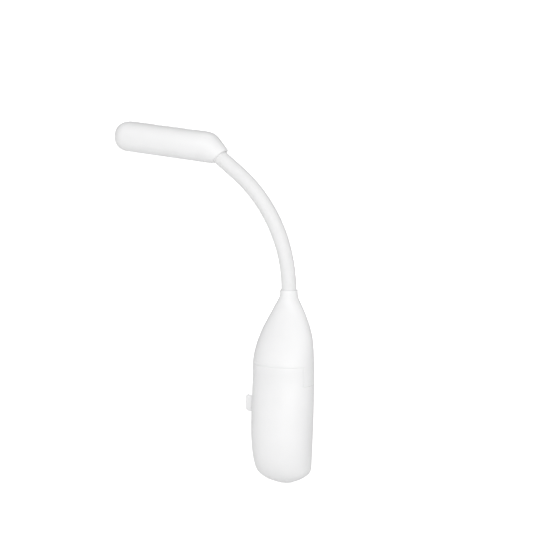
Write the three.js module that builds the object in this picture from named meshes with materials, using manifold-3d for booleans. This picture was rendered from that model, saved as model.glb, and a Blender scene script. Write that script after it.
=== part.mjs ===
// Clip-on reading lamp: battery body with a spring clip behind it, a gooseneck and a slim LED head.
// Millimetres, +Z up. The body's front faces -Y, the clip is on its +Y side, and the neck bends to -X.
// The origin is the middle of the clip's grip, between the two rubber pads.

import * as THREE from 'three';
import { mergeVertices } from 'three/addons/utils/BufferGeometryUtils.js';
import Module from 'manifold-3d';

const wasm = await Module();
wasm.setup();
const { Manifold, Mesh: ManifoldMesh } = wasm;

// ---------- driving dimensions ----------

const GAP = 0.3;                  // clearance between neighbouring pieces
const FAR = 200;                  // reach of the blocks that cut a shape in two

// Body outline: half width (X), front (Y) and height (Z) of the moulded shell, from its foot to its top.
const BODY_OUTLINE = [
  [3.9, -6.9, 0],
  [8.3, -11.3, 2],
  [11.8, -14.5, 5],
  [12.8, -17.1, 10],
  [13.4, -18.5, 18],
  [13.8, -17.8, 30],
  [13.8, -15.9, 45],
  [13.6, -15.3, 55],
  [11.85, -10.4, 65],
  [7.45, -5.6, 75],
  [4.5, -4.5, 80.4],
  [4.1, -4.1, 81.5],
];
const BODY_BACK = 5.0;            // Y of the back of the body
const BODY_TOP = 81.5;            // Z of the top of the moulded shell
const BACK_TOP = 4.1;             // Y of the back at the very top
const BACK_EASE_FROM = 68;        // height from which the back leans in to BACK_TOP
const FOOT_FILLET = 6;            // radius of the bottom rear edge
const BODY_WALL = 1.6;
const SECTION_POWER = 2.15;       // superellipse power of the body's section

const PART_Y = -1.0;              // plane where the front shells meet the rear housing
const ISLAND_Y = -7.8;            // on the -X flank the rear housing reaches forward to here for the switch
const COVER_TOP_Z = 52.8;         // top edge of the battery cover on the front
const COVER_SIDE_Z = 44.2;        // top edge of the battery cover on the flanks
const COVER_TOP_HALF = 12.2;      // half width of the cover's raised middle
const CAVITY_TOP = 76;            // Z where the body's cavity ends below the neck

const NECK_RADIUS = 3.33;         // outside of the gooseneck
const NECK_BEND_RADIUS = 62;      // centre-line radius of the neck's bend at rest
const COLLAR_TOP = 84.3;          // Z of the collar's upper rim
const COLLAR_RADIUS = 3.95;
const COLLAR_COUNTERBORE = 1.6;   // depth that the neck's sleeve sinks into the collar
const FIRST_JOINT = 3.2;          // height of the first neck pivot above the collar
const LINK_PITCH = 8.5;           // distance between neck pivots
const LINK_COUNT = 7;             // free links between the anchor and the head's end piece
const HEAD_END_ANGLE = THREE.MathUtils.degToRad(53);     // lean of the last, head-fixed link
const TAIL_RADIUS = 3.0;          // slim tail of the anchor and of the head's end piece
const TAIL_GROOVE_RADIUS = 2.2;   // bottom of the tail's groove, where a fork plate grips
const TAIL_GROOVE_WIDTH = 1.3;
const NECK_BORE = 0.9;            // bore for the leads
const ANCHOR_FOOT = 67;           // Z of the anchor's lower end
const ANCHOR_GROOVE = 70;         // Z of the anchor's groove
const FORK_THICK = 0.7;
const FORK_SLOT = 2.5;            // half width of a fork plate's slot

const CELL_RADIUS = 5.1;          // AAA cell, 10.2 mm across and 44.5 mm long
const CELL_LENGTH = 43.7;
const CELL_NUB = 0.8;
const CELL_RIM = 0.4;             // rounding of the cell's edges
const CELL_X = 5.4;
const CELL_Y = -6.2;
const CELL_BOTTOM = 8.2;
const CONTACT_THICK = 0.4;        // sheet of the battery contacts
const CONTACT_WIRE = 0.25;        // radius of the contact springs' wire
const CONTACT_COIL = 3.4;         // radius of their widest turn
const CONTACT_TIP = 1.5;          // radius of their narrowest turn
const CONTACT_TURNS = 3;
const JUMPER_Z = 5.4;             // underside of the lower contact's plate

const BOARD_Y = 1.0;              // front face of the circuit board
const BOARD_THICK = 1.0;
const BOARD_HALF = 5.3;
const BOARD_FROM = 22;
const BOARD_TO = 64;
const CHIP_SIZE = [3.6, 1.1, 4.5];
const CAPACITOR_SIZE = [2.8, 1.2, 2.1];

const KNOB_Y = -5.0;
const KNOB_Z = 33.95;             // height of the knob's middle with the lamp switched off
const KNOB_HALF = 3.75;           // half height of the knob
const KNOB_HALF_DEPTH = 2.0;
const KNOB_REACH = -18.0;         // X of its outer face
const KNOB_INNER = -14.1;         // X of its inner face, against the body's flank
const KNOB_ROUND = 1.7;           // rounding of its outer edges
const KNOB_TRAVEL = 3;
const STEM_HEIGHT = 5;
const STEM_HALF_DEPTH = 0.8;
const LEAF_THICK = 0.3;

const GRIP_Z = 12;                // height of the middle of the clip's grip
const GRIP_Y = 6.8;               // plane between the two pads
const PAD_THICK = 1.0;
const PAD_SPACE = 0.4;            // space between the pads with the clip closed
const PAD_HALF_WIDTH = 4.6;
const PAD_HALF_HEIGHT = 4.8;
const PAD_RIB_STEP = 1.75;
const PIVOT_Y = 8.2;              // axis of the clip's pin
const PIVOT_Z = 41;
const PIN_RADIUS = 1.0;
const PIN_PLAY = 0.12;            // radial play of the pin in its holes
const PIN_HEAD_RADIUS = 1.5;
const EAR_RADIUS = 2.2;
const EAR_INNER = 5.0;            // inner faces of the housing's hinge ears
const EAR_OUTER = 6.4;
const JAW_HALF_WIDTH = 6.0;
const JAW_THICK = 1.9;
const JAW_FOOT = 6.4;             // Z of the jaw's lower edge
const LEVER_TOP = 61;             // Z of the thumb lever's upper edge
const LEVER_WAIST_Z = 46;         // height from which the lever narrows
const SPRING_WIRE = 0.32;         // torsion spring: wire radius, coil radius, turns, half length and legs
const SPRING_COIL = 1.85;
const SPRING_TURNS = 4.5;
const SPRING_HALF = 1.55;
const SPRING_LEG = 9;

const SCREW_X = 8.4;
const SCREW_Z = 58.5;
const SCREW_HEAD_RADIUS = 1.75;
const SCREW_SHANK_RADIUS = 0.95;
const SCREW_LENGTH = 6.5;
const SCREW_SEAT_Y = 0.9;         // depth of the counterbore under a housing screw's head
const BOSS_RADIUS = 2.7;
const POST_RADIUS = 2.0;

// Head, in its own frame: origin on the last neck pivot, -X towards the tip.
const HEAD_TILT = THREE.MathUtils.degToRad(4.7);
const HEAD_CENTRE_Z = 6.75;
const HEAD_HALF_HEIGHT = 6.8;
const HEAD_HALF_WIDTH = 7.75;
const HEAD_WALL = 1.3;
const HEAD_FORK_S = 13.3;         // place of the head's fork plate along the neck's end piece
const END_TAIL_FROM = 7.1;        // end piece: start of its slim tail, its groove and its end
const END_GROOVE = 13;
const END_LENGTH = 15.2;
const HEAD_SECTION_POWER = 2.4;   // superellipse power of the head's section
const HEAD_TIP_X = -56.35;
const HEAD_CAP_DEPTH = 7.4;       // depth of the rounded tip
const HEAD_CAP_POWER = 2.2;       // superellipse power of the tip's outline
const NOZZLE_TOP = [-1.5, 6.65];  // upper and lower edge of the nozzle's face, X and Z
const NOZZLE_BOTTOM = [-7.6, -0.1];
const CREST = [-9.1, 13.55];      // corner of the head's upper edge, rounded by CREST_RADIUS
const CREST_RADIUS = 9;
const NOZZLE_HALF_WIDTH = 4.3;
const SHOULDER_X = -20;           // where the nozzle's flare has reached the full section
const WINDOW_FROM = -14;          // light window along the head
const WINDOW_TO = -52;
const COVER_HALF = 5.0;           // half widths of the window's frame and of its lens
const LENS_HALF = 3.4;
const LENS_INSET = 1.2;           // how much shorter than the frame the lens is at each end
const LENS_THICK = 1.6;
const FRAME_THICK = 2.1;
const LED_COUNT = 6;
const LED_FIRST_X = -20.5;
const LED_STEP = 5;
const LED_BOARD_Z = 3.6;
const LED_HALF = 1.4;
const LED_THICK = 0.8;
const HEAD_SCREW_X = [-16.2, -49.8];
const HEAD_POST_RADIUS = 1.6;

// ---------- geometry helpers ----------

const smoothstep = (t) => THREE.MathUtils.smoothstep(t, 0, 1);

// A closed three.js geometry as a manifold solid, turned to face outwards.
function toSolid(geometry) {
  const bare = geometry.clone();
  bare.deleteAttribute('normal');
  bare.deleteAttribute('uv');
  const welded = mergeVertices(bare, 1e-4);
  const index = welded.index.array;
  const point = (i) => new THREE.Vector3().fromBufferAttribute(welded.attributes.position, i);
  const corners = [];
  let volume = 0;
  for (let i = 0; i < index.length; i += 3) {
    const [a, b, c] = [index[i], index[i + 1], index[i + 2]];
    if (a === b || b === c || c === a) continue;
    corners.push(a, b, c);
    volume += point(a).dot(point(b).cross(point(c)));
  }
  if (volume < 0) corners.reverse();
  const vertProperties = new Float32Array(welded.attributes.position.array);
  return new Manifold(new ManifoldMesh({ numProp: 3, vertProperties, triVerts: new Uint32Array(corners) }));
}

function toGeometry(solid) {
  const mesh = solid.getMesh();
  const geometry = new THREE.BufferGeometry();
  geometry.setAttribute('position', new THREE.BufferAttribute(new Float32Array(mesh.vertProperties), 3));
  geometry.setIndex(new THREE.BufferAttribute(new Uint32Array(mesh.triVerts), 1));
  geometry.computeVertexNormals();
  return geometry;
}

const unite = (...solids) => solids.reduce((sum, next) => sum.add(next));
const cut = (solid, ...tools) => tools.reduce((rest, tool) => rest.subtract(tool), solid);

// A block between two corners.
function block([x0, y0, z0], [x1, y1, z1]) {
  const box = new THREE.BoxGeometry(x1 - x0, y1 - y0, z1 - z0);
  return toSolid(box.translate((x0 + x1) / 2, (y0 + y1) / 2, (z0 + z1) / 2));
}

// A rod between two points.
function rod(radius, from, to, sides = 16) {
  const start = new THREE.Vector3(...from);
  const along = new THREE.Vector3(...to).sub(start);
  const cylinder = new THREE.CylinderGeometry(radius, radius, along.length(), sides);
  cylinder.translate(0, along.length() / 2, 0);
  const upright = new THREE.Vector3(0, 1, 0);
  const turn = new THREE.Quaternion().setFromUnitVectors(upright, along.clone().normalize());
  return toSolid(cylinder.applyQuaternion(turn).translate(start.x, start.y, start.z));
}

// A turned solid about +Z; outline is a list of [radius, height], closed on the axis or on itself.
function turned(outline, sides = 16) {
  const points = outline.map(([radius, height]) => new THREE.Vector2(radius, height));
  return toSolid(new THREE.LatheGeometry(points, sides).rotateX(Math.PI / 2));
}

// A flat shape in X-Y, extruded up from z0 to z1.
function prism(shape, z0, z1, curveSegments = 6) {
  const slab = new THREE.ExtrudeGeometry(shape, { depth: z1 - z0, bevelEnabled: false, curveSegments });
  return toSolid(slab.translate(0, 0, z0));
}

// A wire that follows a curve.
function wire(curve, radius, steps, sides = 6) {
  const section = new THREE.Shape().absarc(0, 0, radius, 0, 2 * Math.PI);
  return toSolid(new THREE.ExtrudeGeometry(section, {
    extrudePath: curve, steps, curveSegments: sides, bevelEnabled: false,
  }));
}

// A skin through closed rings of points, with a flat cap at each end.
function loft(rings) {
  const count = rings[0].length;
  const positions = rings.flat().flatMap((p) => [p.x, p.y, p.z]);
  const index = [];
  for (let i = 0; i + 1 < rings.length; i += 1) {
    for (let j = 0; j < count; j += 1) {
      const k = (j + 1) % count;
      const [a, b] = [i * count + j, i * count + k];
      index.push(a, b, b + count, a, b + count, a + count);
    }
  }
  for (const [ring, flip] of [[0, true], [rings.length - 1, false]]) {
    const centre = rings[ring].reduce((sum, p) => sum.add(p), new THREE.Vector3()).divideScalar(count);
    const hub = positions.length / 3;
    positions.push(centre.x, centre.y, centre.z);
    for (let j = 0; j < count; j += 1) {
      const [a, b] = [ring * count + j, ring * count + (j + 1) % count];
      index.push(hub, flip ? b : a, flip ? a : b);
    }
  }
  const geometry = new THREE.BufferGeometry();
  geometry.setAttribute('position', new THREE.Float32BufferAttribute(positions, 3));
  geometry.setIndex(index);
  return toSolid(geometry);
}

// A slot with round ends between two X positions.
function slotShape(x0, x1, half) {
  const [left, right] = [Math.min(x0, x1) + half, Math.max(x0, x1) - half];
  const shape = new THREE.Shape();
  shape.absarc(right, 0, half, -Math.PI / 2, Math.PI / 2);
  shape.absarc(left, 0, half, Math.PI / 2, 1.5 * Math.PI);
  return shape.closePath();
}

function roundedRect(halfWidth, halfHeight, radius) {
  const shape = new THREE.Shape();
  const [w, h] = [halfWidth - radius, halfHeight - radius];
  shape.absarc(w, h, radius, 0, Math.PI / 2);
  shape.absarc(-w, h, radius, Math.PI / 2, Math.PI);
  shape.absarc(-w, -h, radius, Math.PI, 1.5 * Math.PI);
  shape.absarc(w, -h, radius, 1.5 * Math.PI, 2 * Math.PI);
  return shape.closePath();
}

// ---------- materials ----------

const finish = (color, roughness, metalness = 0, more = {}) =>
  new THREE.MeshStandardMaterial({ color, roughness, metalness, ...more });

const WHITE_SHELL = finish(0xf1f2f3, 0.34);
const WHITE_KNOB = finish(0xf4f4f4, 0.4);
const NECK_SLEEVE = finish(0xeceded, 0.55);
const STEEL = finish(0xb9bcc0, 0.32, 1);
const NICKEL = finish(0xc9c9c4, 0.28, 1);
const RUBBER = finish(0xd9dadb, 0.85);
const BOARD = finish(0xdfe4df, 0.5);
const BOARD_GREEN = finish(0x2f6b46, 0.5);
const CHIP = finish(0x1b1c1e, 0.45);
const COIL = finish(0x3a3b3d, 0.6);
const CAPACITOR = finish(0xb79a6a, 0.5);
const CELL = finish(0x4f6f96, 0.35, 0.3);
const LENS = finish(0xf6f8fa, 0.25, 0, { transparent: true, opacity: 0.6 });
const FILM = finish(0xfafafa, 0.6, 0, { transparent: true, opacity: 0.8 });
const PHOSPHOR = finish(0xf3e7b0, 0.4);
const LEAD_RED = finish(0xb3261e, 0.5);
const LEAD_BLACK = finish(0x202124, 0.5);

function piece(name, solid, material) {
  const mesh = new THREE.Mesh(toGeometry(solid), material);
  mesh.name = name;
  return mesh;
}

// ---------- body shells ----------

const outlineCurve = new THREE.CatmullRomCurve3(
  BODY_OUTLINE.map(([halfWidth, front, height]) => new THREE.Vector3(halfWidth, front, height)),
);

function backAt(z) {
  if (z < FOOT_FILLET) {
    const rise = 1 - z / FOOT_FILLET;
    return BODY_BACK - FOOT_FILLET * (1 - Math.sqrt(1 - rise * rise));
  }
  const ease = smoothstep((z - BACK_EASE_FROM) / (BODY_TOP - BACK_EASE_FROM));
  return THREE.MathUtils.lerp(BODY_BACK, BACK_TOP, ease);
}

// The body's solid, inset by a wall thickness.
function bodySolid(inset, ringCount, sides, topZ) {
  const rings = [];
  for (let i = 0; i <= ringCount; i += 1) {
    const at = outlineCurve.getPoint(i / ringCount);
    const [halfWidth, front, height] = [at.x - inset, at.y + inset, at.z];
    const back = backAt(height) - inset;
    const z = Math.min(height + inset * (1 - smoothstep(height / 12)), topZ);
    const power = 2 + (SECTION_POWER - 2) * smoothstep((BODY_TOP - height) / 12);
    const [middle, depth] = [(front + back) / 2, (back - front) / 2];
    const ring = [];
    for (let j = 0; j < sides; j += 1) {
      const angle = 2 * Math.PI * j / sides;
      const [c, s] = [Math.cos(angle), Math.sin(angle)];
      const x = halfWidth * Math.sign(c) * Math.abs(c) ** (2 / power);
      const y = middle + depth * Math.sign(s) * Math.abs(s) ** (2 / power);
      ring.push(new THREE.Vector3(x, y, z));
    }
    rings.push(ring);
    if (height >= topZ) break;
  }
  return loft(rings);
}

const bodyOuter = bodySolid(0, 22, 40, BODY_TOP);
const bodyInner = bodySolid(BODY_WALL, 14, 24, CAVITY_TOP);
const neckBore = rod(TAIL_RADIUS + GAP, [0, 0, CAVITY_TOP - 16], [0, 0, COLLAR_TOP], 20);
const bodyShell = cut(bodyOuter, bodyInner, neckBore);

// Blocks that share the shell out between the rear housing, the battery cover and the upper front shell.
const half = GAP / 2;
const island = (grow) => block([-FAR, ISLAND_Y - grow, -FAR], [0, FAR, COVER_SIDE_Z + grow]);
const coverBlock = (grow) => unite(
  block([-COVER_TOP_HALF - grow, -FAR, -FAR], [COVER_TOP_HALF + grow, ISLAND_Y, COVER_TOP_Z + grow]),
  block([-FAR, -FAR, -FAR], [FAR, PART_Y, COVER_SIDE_Z + grow]),
);
const behindPlane = (y) => block([-FAR, y, -FAR], [FAR, FAR, FAR]);

// A rod along Y at one of the two housing screws.
function screwRod(side, radius, fromY, toY, sides) {
  return rod(radius, [side * SCREW_X, fromY, SCREW_Z], [side * SCREW_X, toY, SCREW_Z], sides);
}

const screwBoss = (side) => screwRod(side, BOSS_RADIUS, PART_Y + half, FAR, 20).intersect(bodyOuter);
const screwPost = (side) => screwRod(side, POST_RADIUS, -FAR, PART_Y - half, 16).intersect(bodyOuter);

function screwHole(side) {
  const shank = screwRod(side, SCREW_SHANK_RADIUS + 0.35, -8, FAR, 12);
  const head = screwRod(side, SCREW_HEAD_RADIUS + 0.35, SCREW_SEAT_Y, FAR, 16);
  return unite(shank, head);
}

function hingeEar(side) {
  const x0 = side > 0 ? EAR_INNER : -EAR_OUTER;
  const [rootY, rootHalf] = [2.2, 5.5];
  const [neckY, neckHalf] = [BODY_BACK - 0.5, 4.6];
  const shape = new THREE.Shape();
  shape.moveTo(rootY, PIVOT_Z - rootHalf);
  shape.lineTo(neckY, PIVOT_Z - neckHalf);
  shape.absarc(PIVOT_Y, PIVOT_Z, EAR_RADIUS, -0.7 * Math.PI, 0.7 * Math.PI);
  shape.lineTo(neckY, PIVOT_Z + neckHalf);
  shape.lineTo(rootY, PIVOT_Z + rootHalf);
  const slab = prism(shape.closePath(), 0, EAR_OUTER - EAR_INNER, 10);
  return slab.transform(sideways(x0));
}

// Places a solid drawn in X-Y so that it lies in Y-Z, with its thickness along X from x0.
function sideways(x0) {
  const basis = new THREE.Matrix4().makeBasis(
    new THREE.Vector3(0, 1, 0), new THREE.Vector3(0, 0, 1), new THREE.Vector3(1, 0, 0),
  );
  return basis.setPosition(x0, 0, 0).elements;
}

// A rod along the clip's pin, reach to each side.
const pinRod = (radius, reach, sides = 20) =>
  rod(radius, [-reach, PIVOT_Y, PIVOT_Z], [reach, PIVOT_Y, PIVOT_Z], sides);

const pinHole = pinRod(PIN_RADIUS + PIN_PLAY, EAR_OUTER + 2);

function rearHousing() {
  const wallRegion = unite(behindPlane(PART_Y + half), island(-half));
  const [seatHalf, seatReach] = [PAD_HALF_WIDTH + 1, PAD_HALF_HEIGHT + 0.6];
  const padSeat = block(
    [-seatHalf, BODY_BACK - 2.5, GRIP_Z - seatReach], [seatHalf, BODY_BACK + GAP, GRIP_Z + seatReach],
  );
  const slotFrom = KNOB_Z - KNOB_TRAVEL - STEM_HEIGHT / 2 - GAP;
  const slotTo = KNOB_Z + STEM_HEIGHT / 2 + GAP;
  const slotHalf = STEM_HALF_DEPTH + GAP;
  const switchSlot = block([-FAR, KNOB_Y - slotHalf, slotFrom], [-9, KNOB_Y + slotHalf, slotTo]);
  const seat = cut(padSeat, bodyInner);
  const ears = cut(unite(hingeEar(1), hingeEar(-1)), bodyInner);
  const bosses = unite(screwBoss(1), screwBoss(-1));
  const shell = unite(bodyShell.intersect(wallRegion), seat, ears, bosses);
  return cut(shell, pinHole, switchSlot, screwHole(1), screwHole(-1));
}

function frontHousing() {
  const walls = cut(bodyShell, behindPlane(PART_Y - half), coverBlock(half), island(half));
  return cut(unite(walls, screwPost(1), screwPost(-1)), screwHole(1), screwHole(-1));
}

// The cover's walls and the tongue at its top that hooks behind the front housing.
function batteryCover() {
  const walls = cut(bodyShell.intersect(coverBlock(-half)), behindPlane(PART_Y - half), island(half));
  const [tongueHalf, front, back] = [4, -15.2, -13];
  const [foot, rootTop, tip] = [COVER_TOP_Z - 6, COVER_TOP_Z - 2, COVER_TOP_Z + 2.6];
  const clearOfWall = bodySolid(BODY_WALL + GAP, 14, 24, CAVITY_TOP);
  const tongue = block([-tongueHalf, front, foot], [tongueHalf, back, tip]).intersect(clearOfWall);
  const root = block([-tongueHalf, -FAR, foot], [tongueHalf, back, rootTop]).intersect(bodyOuter);
  return unite(walls, tongue, root);
}

// ---------- body contents ----------

function cell(number) {
  const side = number === 1 ? -1 : 1;
  const outline = [
    [0, 0], [CELL_RADIUS - CELL_RIM, 0], [CELL_RADIUS, CELL_RIM], [CELL_RADIUS, CELL_LENGTH - CELL_RIM],
    [CELL_RADIUS - CELL_RIM, CELL_LENGTH], [1.9, CELL_LENGTH], [1.9, CELL_LENGTH + CELL_NUB],
    [0, CELL_LENGTH + CELL_NUB],
  ];
  const mesh = piece(`battery_${number}`, turned(outline, 24), CELL);
  mesh.position.set(side * CELL_X, CELL_Y, CELL_BOTTOM);
  if (side > 0) {
    mesh.rotation.x = Math.PI;
    mesh.position.z = CELL_BOTTOM + CELL_LENGTH;
  }
  return mesh;
}

// A conical contact spring standing on z0, narrowing upwards when height is positive.
class ContactSpring extends THREE.Curve {
  constructor(x, y, z0, height) {
    super();
    Object.assign(this, { x, y, z0, height });
  }

  getPoint(t, target = new THREE.Vector3()) {
    const angle = 2 * Math.PI * CONTACT_TURNS * t;
    const radius = THREE.MathUtils.lerp(CONTACT_COIL, CONTACT_TIP, t);
    const [dx, dy] = [radius * Math.cos(angle), radius * Math.sin(angle)];
    return target.set(this.x + dx, this.y + dy, this.z0 + this.height * t);
  }
}

// Plates of sheet metal, centred on a cell or on both.
function contactPlate(halfWidth, halfDepth, x, z) {
  return prism(roundedRect(halfWidth, halfDepth, 1), 0, CONTACT_THICK, 3).translate(x, CELL_Y, z);
}

const contactSpring = (x, z, height) => wire(new ContactSpring(x, CELL_Y, z, height), CONTACT_WIRE, 30, 2);

function jumperContact() {
  const top = JUMPER_Z + CONTACT_THICK;
  const bump = turned([[0, 0], [2.2, 0], [1.6, 1.6], [0, 1.6]], 12).translate(CELL_X, CELL_Y, top - 0.3);
  const spring = contactSpring(-CELL_X, top + 0.05, 1.9);
  return piece('jumper_contact', unite(contactPlate(8, 2.8, 0, JUMPER_Z), bump, spring), NICKEL);
}

function negativeContact() {
  const z = CELL_BOTTOM + CELL_LENGTH + 2.9;
  const spring = contactSpring(CELL_X, z + 0.05, -2.35);
  return piece('negative_contact', unite(contactPlate(4.2, CONTACT_COIL, CELL_X, z), spring), NICKEL);
}

function positiveContact() {
  const z = CELL_BOTTOM + CELL_LENGTH + CELL_NUB + GAP;
  return piece('positive_contact', contactPlate(4.2, CONTACT_COIL, -CELL_X, z), NICKEL);
}

// A part of the circuit board that stands off its front face; x and z are its middle.
function onBoard(name, [width, depth, height], x, z, material) {
  const back = BOARD_Y - GAP;
  const solid = block([x - width / 2, back - depth, z - height / 2], [x + width / 2, back, z + height / 2]);
  return piece(name, solid, material);
}

function electronics() {
  const board = block([-BOARD_HALF, BOARD_Y, BOARD_FROM], [BOARD_HALF, BOARD_Y + BOARD_THICK, BOARD_TO]);
  const drum = [
    [0, 0], [2.6, 0], [2.8, 0.5], [2.1, 0.9], [2.1, 1.9], [2.8, 2.3], [2.6, 2.8], [0, 2.8],
  ];
  const inductor = turned(drum, 20).rotate([90, 0, 0]).translate(-2.4, BOARD_Y - GAP, SCREW_Z);
  return [
    piece('main_circuit_board', board, BOARD_GREEN),
    piece('boost_inductor', inductor, COIL),
    onBoard('driver_chip', CHIP_SIZE, 3.0, 58.75, CHIP),
    onBoard('capacitor', CAPACITOR_SIZE, 3.0, 51.55, CAPACITOR),
  ];
}

function switchLeaf() {
  const spine = [[-5.2, 0.45], [-7.4, 0.3], [-9.2, -1.2], [-10.3, -2.7]];
  const front = spine.map(([x, y]) => [x, y - LEAF_THICK]).reverse();
  const outline = [...spine, ...front].map(([x, y]) => new THREE.Vector2(x, y));
  return piece('switch_leaf', prism(new THREE.Shape(outline), KNOB_Z - 3.4, KNOB_Z - 0.4), NICKEL);
}

// The knob's cap, its stem through the housing's slot and a flange behind the wall.
function switchKnob() {
  const side = new THREE.Shape();
  side.moveTo(KNOB_INNER, -KNOB_HALF);
  side.lineTo(KNOB_REACH + KNOB_ROUND, -KNOB_HALF);
  side.quadraticCurveTo(KNOB_REACH, -KNOB_HALF, KNOB_REACH, KNOB_ROUND - KNOB_HALF);
  side.lineTo(KNOB_REACH, KNOB_HALF - KNOB_ROUND);
  side.quadraticCurveTo(KNOB_REACH, KNOB_HALF, KNOB_REACH + KNOB_ROUND, KNOB_HALF);
  side.lineTo(KNOB_INNER, KNOB_HALF);
  const slab = prism(side.closePath(), -KNOB_HALF_DEPTH, KNOB_HALF_DEPTH).rotate([90, 0, 0]);
  const face = prism(roundedRect(KNOB_HALF_DEPTH, KNOB_HALF, 1.1), 0, KNOB_INNER - KNOB_REACH, 4)
    .transform(sideways(KNOB_REACH));
  const cap = slab.intersect(face);
  const [stemHalf, flangeHalf] = [STEM_HEIGHT / 2, KNOB_HALF - 0.25];
  const stem = block([KNOB_INNER - 0.1, -STEM_HALF_DEPTH, -stemHalf], [-11, STEM_HALF_DEPTH, stemHalf]);
  const flange = block([-11.45, -2 * STEM_HALF_DEPTH, -flangeHalf], [-10.8, 2 * STEM_HALF_DEPTH, flangeHalf]);
  return piece('switch_knob', unite(cap, stem, flange).translate(0, KNOB_Y, KNOB_Z), WHITE_KNOB);
}

// A cross-head screw, its head above Z = 0 and its shank below.
function screw(name, headRadius, shankRadius, length) {
  const [headHeight, crossHalf, crossReach, crossBottom] = [1.3, 0.25, 1.1, 0.8];
  const head = turned([
    [0, 0], [headRadius, 0], [headRadius, headHeight - 0.4], [headRadius - 0.5, headHeight], [0, headHeight],
  ], 16);
  const shank = turned([
    [0, -length], [shankRadius * 0.4, -length], [shankRadius, -length + 1], [shankRadius, 0.1], [0, 0.1],
  ], 12);
  const bar = block([-crossReach, -crossHalf, crossBottom], [crossReach, crossHalf, 2 * headHeight]);
  const cross = unite(bar, bar.rotate([0, 0, 90]));
  return piece(name, cut(unite(head, shank), cross), STEEL);
}

function housingScrew(number) {
  const mesh = screw(`housing_screw_${number}`, SCREW_HEAD_RADIUS, SCREW_SHANK_RADIUS, SCREW_LENGTH);
  mesh.rotation.x = -Math.PI / 2;
  mesh.position.set(number === 1 ? -SCREW_X : SCREW_X, SCREW_SEAT_Y + GAP, SCREW_Z);
  return mesh;
}

function lead(name, x, material) {
  const route = new THREE.CatmullRomCurve3([
    new THREE.Vector3(x * 2, BOARD_Y - 0.75, 62),
    new THREE.Vector3(x * 2, BOARD_Y - 1.0, 64),
    new THREE.Vector3(x, -0.3, 66.2),
  ]);
  return piece(name, wire(route, 0.42, 8, 3), material);
}

// ---------- neck ----------

// Outline of one neck link: a ball about its own pivot below, a dish about the next pivot above.
function linkOutline(length, ballRadius = NECK_RADIUS) {
  const dish = NECK_RADIUS + GAP;
  const outline = [[NECK_BORE, -ballRadius * Math.cos(Math.asin(NECK_BORE / ballRadius))]];
  for (const degrees of [32, 50, 70, 90]) {
    const angle = THREE.MathUtils.degToRad(degrees);
    outline.push([ballRadius * Math.sin(angle), -ballRadius * Math.cos(angle)]);
  }
  outline.push(...dishOutline(length, dish), outline[0]);
  return outline;
}

function dishOutline(pivot, dish) {
  const rim = Math.asin(NECK_RADIUS / dish);
  const inner = Math.asin(NECK_BORE / dish);
  const outline = [];
  for (let i = 0; i <= 4; i += 1) {
    const angle = THREE.MathUtils.lerp(rim, inner, i / 4);
    outline.push([dish * Math.sin(angle), pivot - dish * Math.cos(angle)]);
  }
  return outline;
}

const grooveOutline = (from) => [
  [TAIL_RADIUS, from], [TAIL_GROOVE_RADIUS, from], [TAIL_GROOVE_RADIUS, from + TAIL_GROOVE_WIDTH],
  [TAIL_RADIUS, from + TAIL_GROOVE_WIDTH],
];

function neckAnchor() {
  const pivot = COLLAR_TOP + FIRST_JOINT;
  const step = COLLAR_TOP - COLLAR_COUNTERBORE + GAP;
  const outline = [
    [NECK_BORE, ANCHOR_FOOT], [TAIL_RADIUS, ANCHOR_FOOT], ...grooveOutline(ANCHOR_GROOVE),
    [TAIL_RADIUS, step], [NECK_RADIUS, step], ...dishOutline(pivot, NECK_RADIUS + GAP),
    [NECK_BORE, ANCHOR_FOOT],
  ];
  return piece('neck_anchor', turned(outline, 20), NECK_SLEEVE);
}

// A fork plate that drops into the groove of a neck end and keeps it from pulling out.
function forkPlate(name, halfWidth, backReach, frontReach) {
  const shape = new THREE.Shape();
  shape.moveTo(-FORK_SLOT, -frontReach);
  shape.lineTo(-FORK_SLOT, 0);
  shape.absarc(0, 0, FORK_SLOT, Math.PI, 0, true);
  shape.lineTo(FORK_SLOT, -frontReach);
  shape.lineTo(halfWidth, -frontReach);
  shape.lineTo(halfWidth, backReach);
  shape.lineTo(-halfWidth, backReach);
  shape.lineTo(-halfWidth, -frontReach);
  return piece(name, prism(shape.closePath(), 0, FORK_THICK), STEEL);
}

function neckCollar() {
  const [r, top] = [COLLAR_RADIUS, COLLAR_TOP];
  const bore = TAIL_RADIUS + GAP;
  const mouth = NECK_RADIUS + GAP;
  const base = BODY_TOP + GAP;
  const outline = [
    [bore, base], [r, base], [r, top - 0.35], [r - 0.12, top - 0.1], [mouth + 0.1, top], [mouth, top - 0.12],
    [mouth, top - COLLAR_COUNTERBORE], [bore, top - COLLAR_COUNTERBORE], [bore, base],
  ];
  return piece('neck_collar', turned(outline, 32), WHITE_SHELL);
}

// Pivot positions (X and Z) and leans of the links at rest.
function neckChain() {
  const chain = [{ x: 0, z: COLLAR_TOP + FIRST_JOINT, lean: 0 }];
  for (let k = 0; k < LINK_COUNT; k += 1) {
    const pivot = chain[k];
    pivot.lean = (FIRST_JOINT + LINK_PITCH * (k + 0.5)) / NECK_BEND_RADIUS;
    const [x, z] = [pivot.x - LINK_PITCH * Math.sin(pivot.lean), pivot.z + LINK_PITCH * Math.cos(pivot.lean)];
    chain.push({ x, z, lean: HEAD_END_ANGLE });
  }
  return chain;
}

// ---------- clip ----------

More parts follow.
